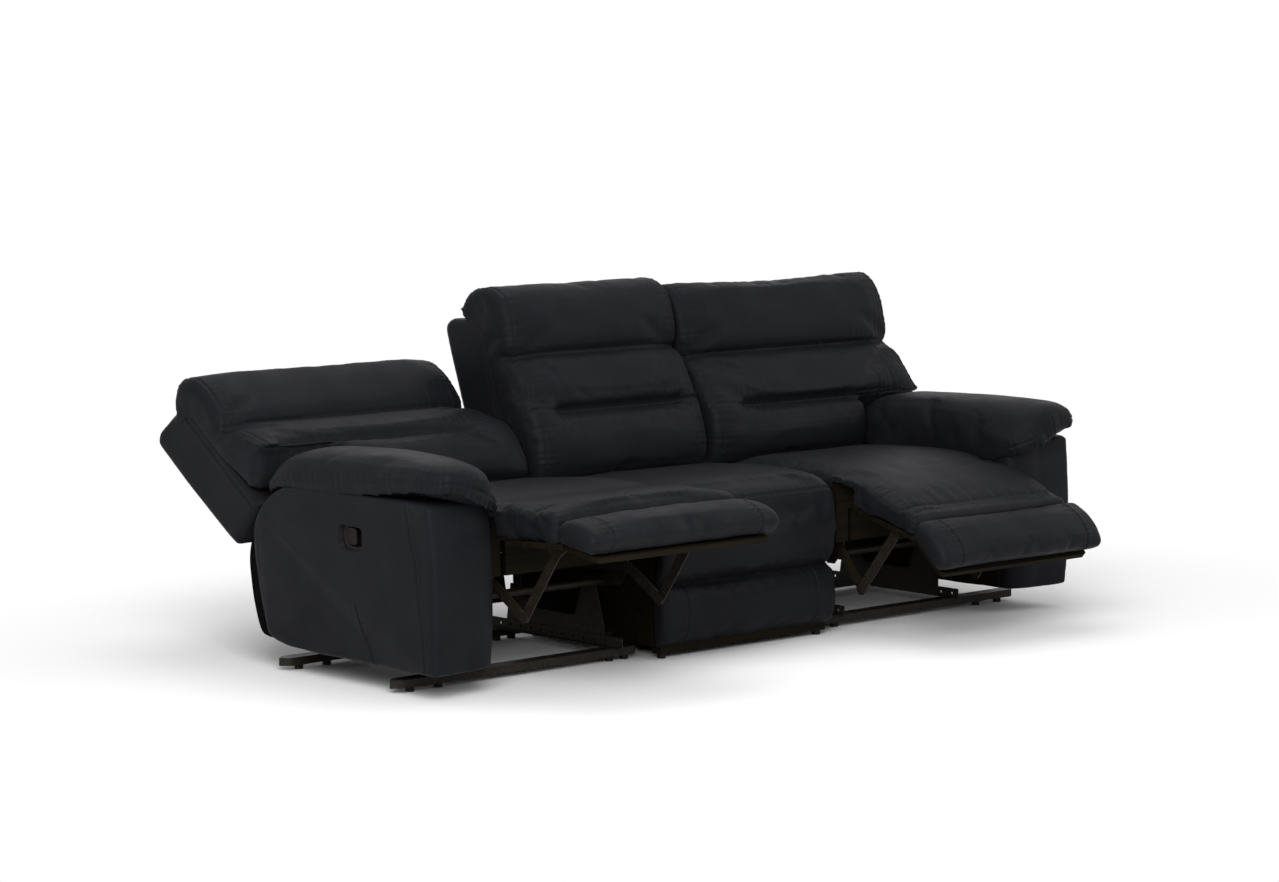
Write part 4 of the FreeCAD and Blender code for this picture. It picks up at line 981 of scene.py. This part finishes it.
def make_chaise(side):
    """Seat cushion that runs on over the front edge into the calf pad."""
    sign = SIDES[side]
    start, end = unit_span(0.007)
    rings = []
    for x, depth in stations(start, end, 0.022, 22):
        full = crown(x, start, end, 0.16)
        seat, calf = chaise_line(side, 0.0, sizes().seat_crown * (full - 0.75) * 0.8)
        skin = spline(np.vstack([seat, calf])[:, 1:], 6)
        under = np.vstack([calf_place(side, on_calf(CALF_UNDER)), seat_place(side, flat(SEAT_UNDER))])[:, 1:]
        ring = inset(evenly(np.vstack([skin, under]), 230, closed=True), depth)
        rings.append(np.column_stack([np.full(len(ring), sign * x), ring]))
    chaise = loft(side + "_chaise_pad", rings)
    remesh(chaise, sizes().voxel)
    hinge = pivot(side + "_footrest")
    co = coordinates(chaise)
    toward_middle = (end - np.abs(co[:, 0])) / (end - start)
    co[:, 0] -= sign * 0.014 * toward_middle * fade((hinge[1] - co[:, 1]) / 0.10)
    set_coordinates(chaise, co)
    seam = calf_place(side, on_calf([(CALF_SEAM[side], 0.004)]))[0]

    def held(co):
        below = co[:, 2] < np.where(co[:, 1] > hinge[1], hinge[2] + 0.004, 0)
        line = np.hypot(co[:, 1] - seam[1], co[:, 2] - seam[2]) < 0.012
        return below | line | (co[:, 1] > 0.17)
    soften(chaise, held, 0.010, 0.01, 0.0016, 0.22, 41 if sign > 0 else 42)
    x0, x1 = sign * (start - 0.002), sign * (end + 0.002)
    cross = spread(calf_place(side, on_calf([(CALF_SEAM[side], 0.006)] * 9)), x0, x1)
    gather(chaise, cross, 0.05, 0.0011, 0.035, 43 if sign > 0 else 44)
    rims = []
    for x in (x0, x1):
        seat, calf = chaise_line(side, x, -0.012)
        rims.append(spline(np.vstack([seat[3:], calf]), 3))
    for k, rim in enumerate(rims):
        gather(chaise, rim, 0.04, 0.0012, 0.05, 45 + k)
    sew(chaise, [cross], double=True)
    upholster(chaise, None, [side + "_seat_cushion", side + "_calf_pad"])
    begin = seat_place(side, flat([(-0.150, 0.428)]))[0]
    finish_at = calf_place(side, on_calf([(0.045, 0.0)]))[0]
    tuple(begin)
    tuple(finish_at)
    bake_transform(chaise)


def ottoman_face(side):
    """Length and height of the ottoman's top line, from the crease to its far edge."""
    first = OTTOMAN_START[side]
    return [(first + 0.002, -0.034), (first, -0.014), (first + 0.010, 0.002)] + OTTOMAN_FACE


def make_ottoman(side):
    """Far pad of the footrest, with seamed end panels."""
    sign = SIDES[side]
    start, end = unit_span(-0.010)
    rings = []
    for x, depth in stations(start, end, 0.024, 22):
        full = crown(x, start, end, 0.10)
        table = np.array(ottoman_face(side))
        table[:, 1] += 0.007 * (full - 0.8) * (table[:, 1] > 0)
        face = on_calf(table)[:, 1:]
        under = on_calf([(0.378, -0.054), (0.258, -0.054), table[0]])[:, 1:]
        ring = inset(ring_of(face, under, count=120), depth * 0.9)
        rings.append(ottoman_place(side, np.column_stack([np.full(len(ring), sign * x), ring])))
    pad = loft(side + "_ottoman_cushion", rings)
    remesh(pad, sizes().voxel * 0.9)
    back = ottoman_place(side, on_calf([(0.30, -0.05), (0.30, -0.06)]))
    inward = back[1] - back[0]
    inward /= np.linalg.norm(inward)
    soften(pad, lambda co: (co - back[0]) @ inward > -0.006, 0.010, 0.01, 0.0014, 0.16,
           51 if sign > 0 else 52)
    seams = [spline(ottoman_place(side, on_calf(ottoman_face(side)[1:], sign * x)), 5)
             for x in (start + 0.072, end - 0.072)]
    for k, seam in enumerate(seams):
        gather(pad, seam, 0.03, 0.0012, 0.03, 53 + k)
    sew(pad, seams, double=True)
    upholster(pad, side + "_ottoman", [side + "_ottoman_pad"])
    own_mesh(pad)


MIDDLE_SEAT = (
    [(0.405, 0.395), (0.400, 0.434), (0.31, 0.450), (0.16, 0.461), (0.03, 0.460), (-0.055, 0.452),
     (-0.098, 0.438), (-0.116, 0.412), (-0.119, 0.36), (-0.117, 0.30), (-0.108, 0.235), (-0.084, 0.207)],
    [(-0.084, 0.207), (-0.0634, 0.208), (-0.0634, 0.3535), (0.395, 0.3535), (0.405, 0.395)],
)
MIDDLE_FRONT = (
    [(-0.080, 0.203), (-0.104, 0.187), (-0.113, 0.13), (-0.110, 0.07), (-0.096, 0.042)],
    [(-0.096, 0.042), (-0.0634, 0.040), (-0.0634, 0.204), (-0.080, 0.203)],
)


def make_middle_seat():
    """Fixed seat cushion whose front drops to a crease."""
    half = MIDDLE_HALF - 0.001
    rings = []
    for x, depth in stations(-half, half, 0.022, 22):
        full = crown(x, -half, half, 0.17)
        ring = ring_of(*MIDDLE_SEAT, count=200)
        top = fade((ring[:, 1] - 0.36) / 0.08)
        ring[:, 1] += sizes().seat_crown * (full - 0.75) * top
        rings.append(flat(inset(ring, depth), x))
    seat = loft("middle_seat_pad", rings)
    remesh(seat, sizes().voxel)
    soften(seat, lambda co: (co[:, 2] < 0.365) & (co[:, 1] > FRONT - 0.08) | (co[:, 2] < 0.22), 0.010,
           0.01, 0.0016, 0.22, 61)
    edge = spread(flat([(-0.110, 0.430)] * 9), -half, half)
    foot = spread(flat([(-0.088, 0.214)] * 9), -half, half)
    gather(seat, foot, 0.05, 0.0010, 0.075, 62)
    gather(seat, edge, 0.03, 0.0006, 0.06, 63)
    sew(seat, [edge], double=True)
    upholster(seat, "root", ["middle_seat_cushion"])


def make_middle_front():
    """Lower front pad of the fixed unit, with two upright seams."""
    half = MIDDLE_HALF - 0.001
    ring = ring_of(*MIDDLE_FRONT, count=110)
    rings = [flat(inset(ring, depth), x) for x, depth in stations(-half, half, 0.018, 20)]
    pad = loft("middle_front_cushion", rings)
    remesh(pad, sizes().voxel * 0.9)
    soften(pad, lambda co: co[:, 1] > FRONT - 0.078, 0.008, 0.01, 0.0012, 0.16, 71)
    top = spread(flat([(-0.083, 0.201)] * 7), -half, half)
    gather(pad, top, 0.04, 0.0008, 0.07, 72)
    upright = [(-0.083, 0.201), (-0.106, 0.184), (-0.113, 0.13), (-0.110, 0.07), (-0.098, 0.044)]
    seams = [spline(flat(upright, x), 4) for x in (-half + 0.085, half - 0.085)]
    sew(pad, seams, double=True)
    upholster(pad, "root", ["middle_front_pad"])


# Backs
LOW_CHANNEL = (0.454, 0.631)
HIGH_CHANNEL = (0.566, 0.785)
BACK_FOOT = [(0.508, 0.478), (0.470, 0.440), (0.430, 0.432), (0.409, 0.444)]
LOBES_FULL = [(0.409, 0.444), (0.402, 0.490), (0.407, 0.550), (0.424, 0.600), (0.460, 0.632), (0.455, 0.662),
              (0.481, 0.712), (0.510, 0.755), (0.540, 0.777), (0.568, 0.784)]
LOBES_PLAIN = [(0.409, 0.444), (0.402, 0.490), (0.408, 0.550), (0.421, 0.598), (0.435, 0.632), (0.453, 0.664),
               (0.482, 0.712), (0.510, 0.755), (0.540, 0.777), (0.568, 0.784)]
HEAD_ROLL = [(0.568, 0.786), (0.548, 0.795), (0.540, 0.825), (0.547, 0.870), (0.561, 0.915), (0.588, 0.957),
             (0.626, 0.980), (0.664, 0.972), (0.696, 0.942), (0.710, 0.892)]
BACK_REAR = [(0.710, 0.892), (0.706, 0.885), (0.644, 0.885), (0.512, 0.482), (0.508, 0.478)]
WING_UNDER = [(0.528, 0.546), (0.521, 0.540), (0.506, 0.556), (0.474, 0.608), (0.450, 0.632)]
# Ends of a recliner's back between the middle unit and the arm, and of its shell
RECLINER_BACK = (MIDDLE_HALF + 0.011, ARM_INNER - 0.015)
SHELL_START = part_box("right_back_shell")[0].x
BACK_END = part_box("right_back_shell")[1].x
# The way out of a back's front, and how much its middle stands out there
FORWARD = np.array([-0.95, 0.31])
BACK_CROWN = 0.012
# Heights on a back, how far a recliner's cushion sags and bulges there, and how far its outer end splays
SAG_HEIGHTS = [0.43, 0.632, 0.785, 0.98]
SAGS = {"left": [0.0, -0.030, -0.056, -0.034], "right": [0.0, -0.028, -0.038, -0.020]}
BELLY = [0.0, 0.028, 0.006, 0.0]
SPLAY = {"left": 0.004, "right": 0.022}
SHELL_SIDE = (
    [(0.514, 0.480), (0.600, 0.463), (0.683, 0.449)],
    [(0.683, 0.449), (0.706, 0.50), (0.765, 0.66), (0.822, 0.83), (0.826, 0.862), (0.806, 0.883)],
    [(0.806, 0.883), (0.72, 0.886), (0.645, 0.883)],
    [(0.645, 0.883), (0.58, 0.682), (0.514, 0.480)],
)


def lobes_at(tuck):
    """The front line of a back's lobes, with the low tuck as deep as asked."""
    return np.array(LOBES_PLAIN) * (1 - tuck) + np.array(LOBES_FULL) * tuck


def back_ring(full, tuck):
    """Side view of a back cushion: its lobes, with the low tuck as deep as asked, and head roll."""
    front = np.vstack([spline(BACK_FOOT, 5), spline(lobes_at(tuck), 5), spline(HEAD_ROLL, 5)])
    forward = fade((0.70 - front[:, 0] + 0.325 * (front[:, 1] - 0.6)) / 0.12)
    front = front + FORWARD * (BACK_CROWN * (full - 0.8) * forward)[:, None]
    return evenly(np.vstack([front, BACK_REAR]), 240, closed=True)


def tuck_at(x, start, end):
    """How deep the low tuck is across a back: full in the middle, none near the sides."""
    t = (x - start) / (end - start)
    return fade((t - 0.10) / 0.08) * fade((0.96 - t) / 0.07)


def back_rings(start, end, reach, place, sign):
    rings = []
    for x, depth in stations(start, end, 0.026, 24):
        ring = back_ring(crown(x, start, reach, 0.12), tuck_at(x, start, reach))
        rings.append(place(flat(inset(ring, depth), sign * x)))
    return rings


def wing_rings(start, end, back_start, place, sign):
    """Upper part of a back, which reaches out over the arm and down behind its pad."""
    rings = []
    for x, depth in stations(start, end, 0.026, 14):
        full = crown(x, back_start, end, 0.12)
        tuck = tuck_at(x, back_start, end)
        front = np.vstack([spline(WING_UNDER, 5), spline(lobes_at(tuck)[4:], 5), spline(HEAD_ROLL, 5)])
        front = front + FORWARD * BACK_CROWN * (full - 0.8)
        ring = evenly(np.vstack([front, BACK_REAR[:3]]), 240, closed=True)
        rings.append(place(flat(inset(ring, depth), sign * x)))
    return rings


def joined_loft(name, parts):
    """Several overlapping lofts as one mesh, ready to be remeshed into one skin."""
    items = [loft(name + "_part", rings) for rings in parts]
    points = []
    faces = []
    for item in items:
        base = len(points)
        points += [tuple(v.co) for v in item.data.vertices]
        faces += [tuple(base + k for k in p.vertices) for p in item.data.polygons]
        mesh = item.data
        bpy.data.objects.remove(item)
        bpy.data.meshes.remove(mesh)
    return mesh_object(name, points, faces)


def crease(item, line, depth, width):
    """Press a soft V-shaped fold into a skin."""
    co = coordinates(item)
    no = normals(item)
    index, gap, along, total = to_line(co, line, width * 4)
    t = along / total
    shape = -depth * np.exp(-gap / width) * fade(t / 0.10) * fade((1 - t) / 0.10)
    co[index] += no[index] * shape[:, None]
    set_coordinates(item, co)


def make_back(name, start, end, place, sign, body, nodes, wing=None, seed=81):
    """Channelled back cushion with a head roll and seamed side panels."""
    right_end = wing or end
    parts = [back_rings(start, end, right_end, place, sign)]
    if wing:
        parts.append(wing_rings(end - 0.06, wing, start, place, sign))
    back = joined_loft(name, parts)
    remesh(back, sizes().voxel)
    hinge_rear = place(flat([BACK_REAR[2], BACK_REAR[3]]))
    along = hinge_rear[0] - hinge_rear[1]
    along /= np.linalg.norm(along)
    away = np.array([0, -along[2], along[1]])
    high = place(flat([HIGH_CHANNEL]))[0]
    low = place(flat([LOW_CHANNEL]))[0]

    def held(co):
        rear = (co - hinge_rear[1]) @ away < 0.012
        crease_line = np.hypot(co[:, 1] - high[1], co[:, 2] - high[2]) < 0.020
        across = np.abs(co[:, 0]) if wing else co[:, 0]
        tucked = tuck_at(across, start, right_end) > 0.5
        tuck = (np.hypot(co[:, 1] - low[1], co[:, 2] - low[2]) < 0.016) & tucked
        return rear | crease_line | tuck
    soften(back, held, 0.011, 0.012, 0.0016, 0.20, seed)
    span = right_end - start
    low_line = place(flat([(LOW_CHANNEL[0] + 0.006, LOW_CHANNEL[1])] * 15))
    spread(low_line, sign * (start + 0.12 * span), sign * (right_end - 0.05 * span))
    ends = np.linspace(-1, 1, 15)
    low_line[:, 2] += 0.008 * ends ** 4
    crease(back, low_line, 0.012, 0.014)
    long_low = spread(low_line.copy(), sign * (start + 0.01), sign * (right_end - 0.01))
    high_line = spread(place(flat([HIGH_CHANNEL] * 15)), sign * start, sign * right_end)

    def at_ends(t):
        return np.exp(-((t - 0.10) / 0.13) ** 2) + np.exp(-((t - 0.90) / 0.13) ** 2)
    gather(back, low_line, 0.065, 0.0020, 0.038, seed + 1, at_ends)
    gather(back, high_line, 0.080, 0.0013, 0.052, seed + 2, lambda t: 0.2 + 0.9 * at_ends(t))
    seams = [long_low]
    for x in (start + 0.026, right_end - 0.026):
        profile = spline(LOBES_PLAIN[1:] if x < end else LOBES_PLAIN[4:], 4)
        seams.append(place(flat(profile, sign * x)))
        seams.append(place(flat(spline(HEAD_ROLL[1:], 4), sign * x)))
    for k, seam in enumerate(seams[1:]):
        gather(back, seam, 0.040, 0.0010, 0.042, seed + 5 + k)
    sew(back, seams, double=False)
    upholster(back, body, nodes)


def make_shell(name, start, end, place, sign, body, node, seed):
    """Padded rear shell of a back, with seams on its sides and rear."""
    ring = ring_of(*SHELL_SIDE, count=170)
    rings = [place(flat(inset(ring, depth), sign * x)) for x, depth in stations(start, end, 0.020, 20)]
    shell = loft(name, rings)
    remesh(shell, sizes().voxel * 1.1)
    apply_modifier(shell, "SUBSURF", levels=1)
    ripple(shell, 0.0014, 0.20, seed)
    seams = []
    for x in (start, end):
        seams.append(place(flat([(0.545, 0.478), (0.612, 0.68), (0.674, 0.872)], sign * x)))
    rear_seams = []
    for x in (start + 0.02, end - 0.02):
        rear_seams.append(place(flat([(0.690, 0.455), (0.765, 0.66), (0.822, 0.83)], sign * x)))
    sew(shell, seams + rear_seams, double=False)
    upholster(shell, body, [node])


def place_middle(points):
    """The middle back stays put, but its head roll is deeper behind."""
    out = np.array(points, float)
    deeper = fade((out[:, 1] - FRONT - 0.58) / 0.10) * fade((out[:, 2] - 0.80) / 0.08)
    out[:, 1] += 0.045 * deeper
    return out


def stay(points):
    return points


def make_recliner_back(side):
    sign = SIDES[side]

    def place(points):
        return back_place(side, points)

    def place_pad(points):
        out = np.array(points, float)
        share = np.clip((np.abs(out[:, 0]) - RECLINER_BACK[0]) / (BACK_END - RECLINER_BACK[0]), 0, 1)
        out[:, 0] += sign * SPLAY[side] * share ** 2 * fade((0.99 - points[:, 2]) / 0.30)
        out[:, 1] -= np.interp(points[:, 2], SAG_HEIGHTS, BELLY) * fade((FRONT + 0.60 - points[:, 1]) / 0.1)
        out[:, 2] += np.interp(points[:, 2], SAG_HEIGHTS, SAGS[side])
        return back_place(side, out)
    make_back(side + "_back_pad", *RECLINER_BACK, place_pad, sign, side + "_back", [side + "_back_cushion"],
              wing=BACK_END, seed=81 if sign > 0 else 101)
    make_shell(side + "_back_cover", SHELL_START, BACK_END, place, sign, side + "_back", side + "_back_shell",
               91 if sign > 0 else 111)


def make_middle_back():
    half = MIDDLE_HALF - 0.006
    make_back("middle_back_pad", -half, half, place_middle, 1, "root", ["middle_back_cushion"], seed=121)
    make_shell("middle_back_cover", -half, half, stay, 1, "root", "middle_back_shell", 131)


# Handles
# How far the lever's middle lies behind its bezel's middle
LEVER_SHIFT = 0.0175


def rounded(half_y, half_z, count=56, power=4.0):
    """A rounded rectangle in a handle's face: (along, up) pairs."""
    angle = np.linspace(0, 2 * math.pi, count, endpoint=False)
    c = np.cos(angle)
    s = np.sin(angle)
    return np.column_stack([half_y * np.sign(c) * np.abs(c) ** (2 / power),
                            half_z * np.sign(s) * np.abs(s) ** (2 / power)])


def handle_loft(name, side, sections, centre_y=0.0, power=4.0):
    """A skin over (half along, half up, height) sections about a handle's centre."""
    centre, out, up = handle_axes(side)
    rings = []
    for half_y, half_z, height in sections:
        flat_ring = rounded(half_y, half_z, power=power)
        ring = centre + out * height + np.outer(flat_ring[:, 0] + centre_y, [0, 1, 0])
        rings.append(ring + np.outer(flat_ring[:, 1], up))
    return loft(name, rings)


def make_handle(side):
    """Bezel with a finger recess, and the lever that is pulled."""
    wide, tall = HANDLE_HALF
    bezel = handle_loft(side + "_handle_surround", side, [
        (wide - 0.004, tall - 0.004, -0.030), (wide - 0.002, tall - 0.002, -0.004), (wide, tall, -0.001),
        (wide, tall, 0.002), (wide - 0.002, tall - 0.002, 0.0046), (wide - 0.005, tall - 0.005, 0.0055),
        (wide - 0.012, tall - 0.010, 0.0050), (wide - 0.0145, tall - 0.012, 0.003),
        (wide - 0.0160, tall - 0.0135, -0.012), (wide - 0.020, tall - 0.016, -0.024),
        (wide - 0.026, tall - 0.022, -0.028)], power=3.2)
    smooth_faces(bezel)
    bezel.data.materials.append(handle_material())
    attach(bezel, "root")
    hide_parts(side + "_handle_bezel")
    lever = handle_loft(side + "_handle_paddle", side, [
        (0.019, 0.0215, -0.008), (0.0215, 0.0240, -0.006), (0.0220, 0.0245, -0.002), (0.0215, 0.0240, 0.0015),
        (0.0195, 0.0220, 0.0030), (0.0160, 0.0185, 0.0026), (0.0100, 0.0120, 0.0008)],
        centre_y=LEVER_SHIFT, power=5.0)
    smooth_faces(lever)
    lever.data.materials.append(handle_material())
    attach(lever, side + "_handle")
    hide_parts(side + "_handle_lever")


# Mechanism
def finish_frame():
    """Paint the steel and finish the boards, straps and glides."""
    rail = paint_material("dark_steel", finish().rail_paint)
    link = paint_material("link_steel", finish().link_paint, 0.36)
    board = board_material()
    strap = woven_material("webbing", STRAP_COLOUR, STRAP_PITCH)
    cloth = woven_material("base_cloth", finish().cloth, REAR_CLOTH_PITCH)
    for side in SIDES:
        for node in ("cross_rails", "side_rails", "base_plates"):
            dress(side + "_" + node, rail)
        for node in ("front_swing_links", "rear_swing_links", "mech_plates", "back_brackets", "calf_brackets",
                     "foot_rockers", "foot_couplers"):
            dress(side + "_" + node, link)
        for node in ("seat_box", "calf_board", "ottoman_board", "back_frame"):
            dress(side + "_" + node, board)
        dress(side + "_seat_webbing", strap)
        dress(side + "_rear_panel", cloth)
    dress("unit_connectors", rail)
    dress("middle_rails", board)
    dress("middle_box", board)
    dress("glides", handle_material())


# Studio
WHITE = (1, 1, 1, 1)
# Distances from the middle at which the lit floor starts and ends its fade into the backdrop
FLOOR_KEPT = 1.5
FLOOR_GONE = 2.6
SKY_STRENGTH = 0.55
LAMP_AIM = (0, 0, 0.4)
# Names, places, widths and powers of the lamps
LAMPS = (
    ("key", (-3.6, -3.6, 2.9), 3.0, 230),
    ("top", (0.4, 0.3, 4.2), 3.2, 48),
    ("side", (3.8, -2.6, 2.4), 2.4, 25),
)
# The photograph's view: focal length, place, and tilt and turn in degrees
LENS = 105.24
CAMERA_PLACE = (-7.17566, -7.697323, 1.7122)
CAMERA_TILT = 90 - 6.293
CAMERA_TURN = -42.521


def make_floor():
    """Pale floor that keeps the sofa's shadow and fades to the plain white backdrop."""
    mesh = bpy.data.meshes.new("floor")
    reach = 30.0
    mesh.from_pydata([(-reach, -reach, 0), (reach, -reach, 0), (reach, reach, 0), (-reach, reach, 0)], [],
                     [(0, 1, 2, 3)])
    floor = bpy.data.objects.new("floor", mesh)
    bpy.context.scene.collection.objects.link(floor)
    material, tree, skin = new_material("floor")
    link = tree.links.new
    give(skin, {"Base Color": (*finish().floor, 1), "Roughness": 1.0, "Specular IOR Level": 0.0})
    squeeze = add(tree, "ShaderNodeMapping", {"Location": (0.0, 0.15, 0.0), "Scale": (1.0, 1.25, 1.0)})
    distance = add(tree, "ShaderNodeVectorMath", operation="LENGTH")
    link(place_of(tree), squeeze.inputs["Vector"])
    link(squeeze.outputs["Vector"], distance.inputs[0])
    far = add(tree, "ShaderNodeMapRange", {"From Min": FLOOR_KEPT, "From Max": FLOOR_GONE},
              interpolation_type="SMOOTHSTEP")
    link(distance.outputs["Value"], far.inputs["Value"])
    both = add(tree, "ShaderNodeMath", operation="MULTIPLY")
    link(seen_rays(tree), both.inputs[0])
    link(far.outputs["Result"], both.inputs[1])
    glow = add(tree, "ShaderNodeEmission", {"Color": WHITE, "Strength": 1.0})
    mix = add(tree, "ShaderNodeMixShader")
    link(both.outputs[0], mix.inputs["Fac"])
    link(skin.outputs["BSDF"], mix.inputs[1])
    link(glow.outputs["Emission"], mix.inputs[2])
    link(mix.outputs["Shader"], tree.nodes["Material Output"].inputs["Surface"])
    mesh.materials.append(material)


def seen_rays(tree):
    """1 for rays from the camera and for those that gloss or glass sends on."""
    path = add(tree, "ShaderNodeLightPath")
    first = add(tree, "ShaderNodeMath", operation="MAXIMUM")
    second = add(tree, "ShaderNodeMath", operation="MAXIMUM")
    tree.links.new(path.outputs["Is Camera Ray"], first.inputs[0])
    tree.links.new(path.outputs["Is Glossy Ray"], first.inputs[1])
    tree.links.new(first.outputs[0], second.inputs[0])
    tree.links.new(path.outputs["Is Transmission Ray"], second.inputs[1])
    return second.outputs[0]


def make_sky(strength):
    """Even studio light, seen as plain white."""
    world = bpy.data.worlds.new("studio")
    bpy.context.scene.world = world
    world.use_nodes = True
    tree = world.node_tree
    output = tree.nodes["World Output"]
    soft = tree.nodes["Background"]
    give(soft, {"Color": WHITE, "Strength": strength})
    white = add(tree, "ShaderNodeBackground", {"Color": WHITE, "Strength": 1.0})
    mix = add(tree, "ShaderNodeMixShader")
    tree.links.new(seen_rays(tree), mix.inputs["Fac"])
    tree.links.new(soft.outputs["Background"], mix.inputs[1])
    tree.links.new(white.outputs["Background"], mix.inputs[2])
    tree.links.new(mix.outputs["Shader"], output.inputs["Surface"])


def make_lamp(name, place, size, power):
    data = bpy.data.lights.new(name, "AREA")
    data.shape = "SQUARE"
    data.size = size
    data.energy = power
    lamp = bpy.data.objects.new(name, data)
    lamp.location = place
    lamp.rotation_euler = (Vector(LAMP_AIM) - Vector(place)).to_track_quat("-Z", "Y").to_euler()
    bpy.context.scene.collection.objects.link(lamp)


def make_camera():
    data = bpy.data.cameras.new("camera")
    data.lens = LENS
    data.sensor_width = 36.0
    data.clip_end = 100.0
    camera = bpy.data.objects.new("camera", data)
    camera.location = CAMERA_PLACE
    camera.rotation_euler = (math.radians(CAMERA_TILT), 0, math.radians(CAMERA_TURN))
    bpy.context.scene.collection.objects.link(camera)
    bpy.context.scene.camera = camera


class SOFA_OT_arms(bpy.types.Operator):
    """Upholster both arms and their rear cloths"""
    bl_idname = "sofa.arms"
    bl_label = "Arms"

    def execute(self, context):
        for side in SIDES:
            make_arm(side)
        return {"FINISHED"}


class SOFA_OT_arm_pads(bpy.types.Operator):
    """Fit the pillow-top arm pads"""
    bl_idname = "sofa.arm_pads"
    bl_label = "Arm pads"

    def execute(self, context):
        for side in SIDES:
            make_arm_pad(side)
        return {"FINISHED"}


class SOFA_OT_handles(bpy.types.Operator):
    """Fit the pull handles"""
    bl_idname = "sofa.handles"
    bl_label = "Pull handles"

    def execute(self, context):
        for side in SIDES:
            make_handle(side)
        return {"FINISHED"}


class SOFA_OT_seats(bpy.types.Operator):
    """Fit the recliner seats with their calf pads, and the footrest ends"""
    bl_idname = "sofa.seats"
    bl_label = "Recliner seats"

    def execute(self, context):
        for side in SIDES:
            make_chaise(side)
            make_ottoman(side)
        return {"FINISHED"}


class SOFA_OT_middle_seat(bpy.types.Operator):
    """Fit the fixed seat and its front pad"""
    bl_idname = "sofa.middle_seat"
    bl_label = "Middle seat"

    def execute(self, context):
        make_middle_seat()
        make_middle_front()
        return {"FINISHED"}


class SOFA_OT_backs(bpy.types.Operator):
    """Fit the three backs and their shells"""
    bl_idname = "sofa.backs"
    bl_label = "Backs"

    def execute(self, context):
        for side in SIDES:
            make_recliner_back(side)
        make_middle_back()
        return {"FINISHED"}


class SOFA_OT_frame(bpy.types.Operator):
    """Finish the steel, boards, straps and glides"""
    bl_idname = "sofa.frame"
    bl_label = "Frame finish"

    def execute(self, context):
        finish_frame()
        return {"FINISHED"}


class SOFA_OT_studio(bpy.types.Operator):
    """Set up the floor, lights and camera"""
    bl_idname = "sofa.studio"
    bl_label = "Studio"

    def execute(self, context):
        make_floor()
        make_sky(SKY_STRENGTH)
        for lamp in LAMPS:
            make_lamp(*lamp)
        make_camera()
        context.scene.view_settings.view_transform = "Standard"
        return {"FINISHED"}


OPERATORS = (SOFA_OT_arms, SOFA_OT_arm_pads, SOFA_OT_handles, SOFA_OT_seats, SOFA_OT_middle_seat,
             SOFA_OT_backs, SOFA_OT_frame, SOFA_OT_studio)


class SOFA_PT_panel(bpy.types.Panel):
    """Lists the steps that dress the sofa"""
    bl_idname = "SOFA_PT_panel"
    bl_label = "Reclining sofa"
    bl_space_type = "VIEW_3D"
    bl_region_type = "UI"
    bl_category = "Sofa"

    def draw(self, context):
        for kind in OPERATORS:
            self.layout.operator(kind.bl_idname)


CLASSES = (SofaSizes, SofaFinish, *OPERATORS, SOFA_PT_panel)


def register():
    for kind in CLASSES:
        bpy.utils.register_class(kind)
    bpy.types.Scene.sofa_sizes = PointerProperty(type=SofaSizes)
    bpy.types.Scene.sofa_finish = PointerProperty(type=SofaFinish)


def unregister():
    del bpy.types.Scene.sofa_finish
    del bpy.types.Scene.sofa_sizes
    for kind in reversed(CLASSES):
        bpy.utils.unregister_class(kind)


def main():
    register()
    for kind in OPERATORS:
        family, action = kind.bl_idname.split(".")
        getattr(getattr(bpy.ops, family), action)()


if __name__ == "__main__":
    main()
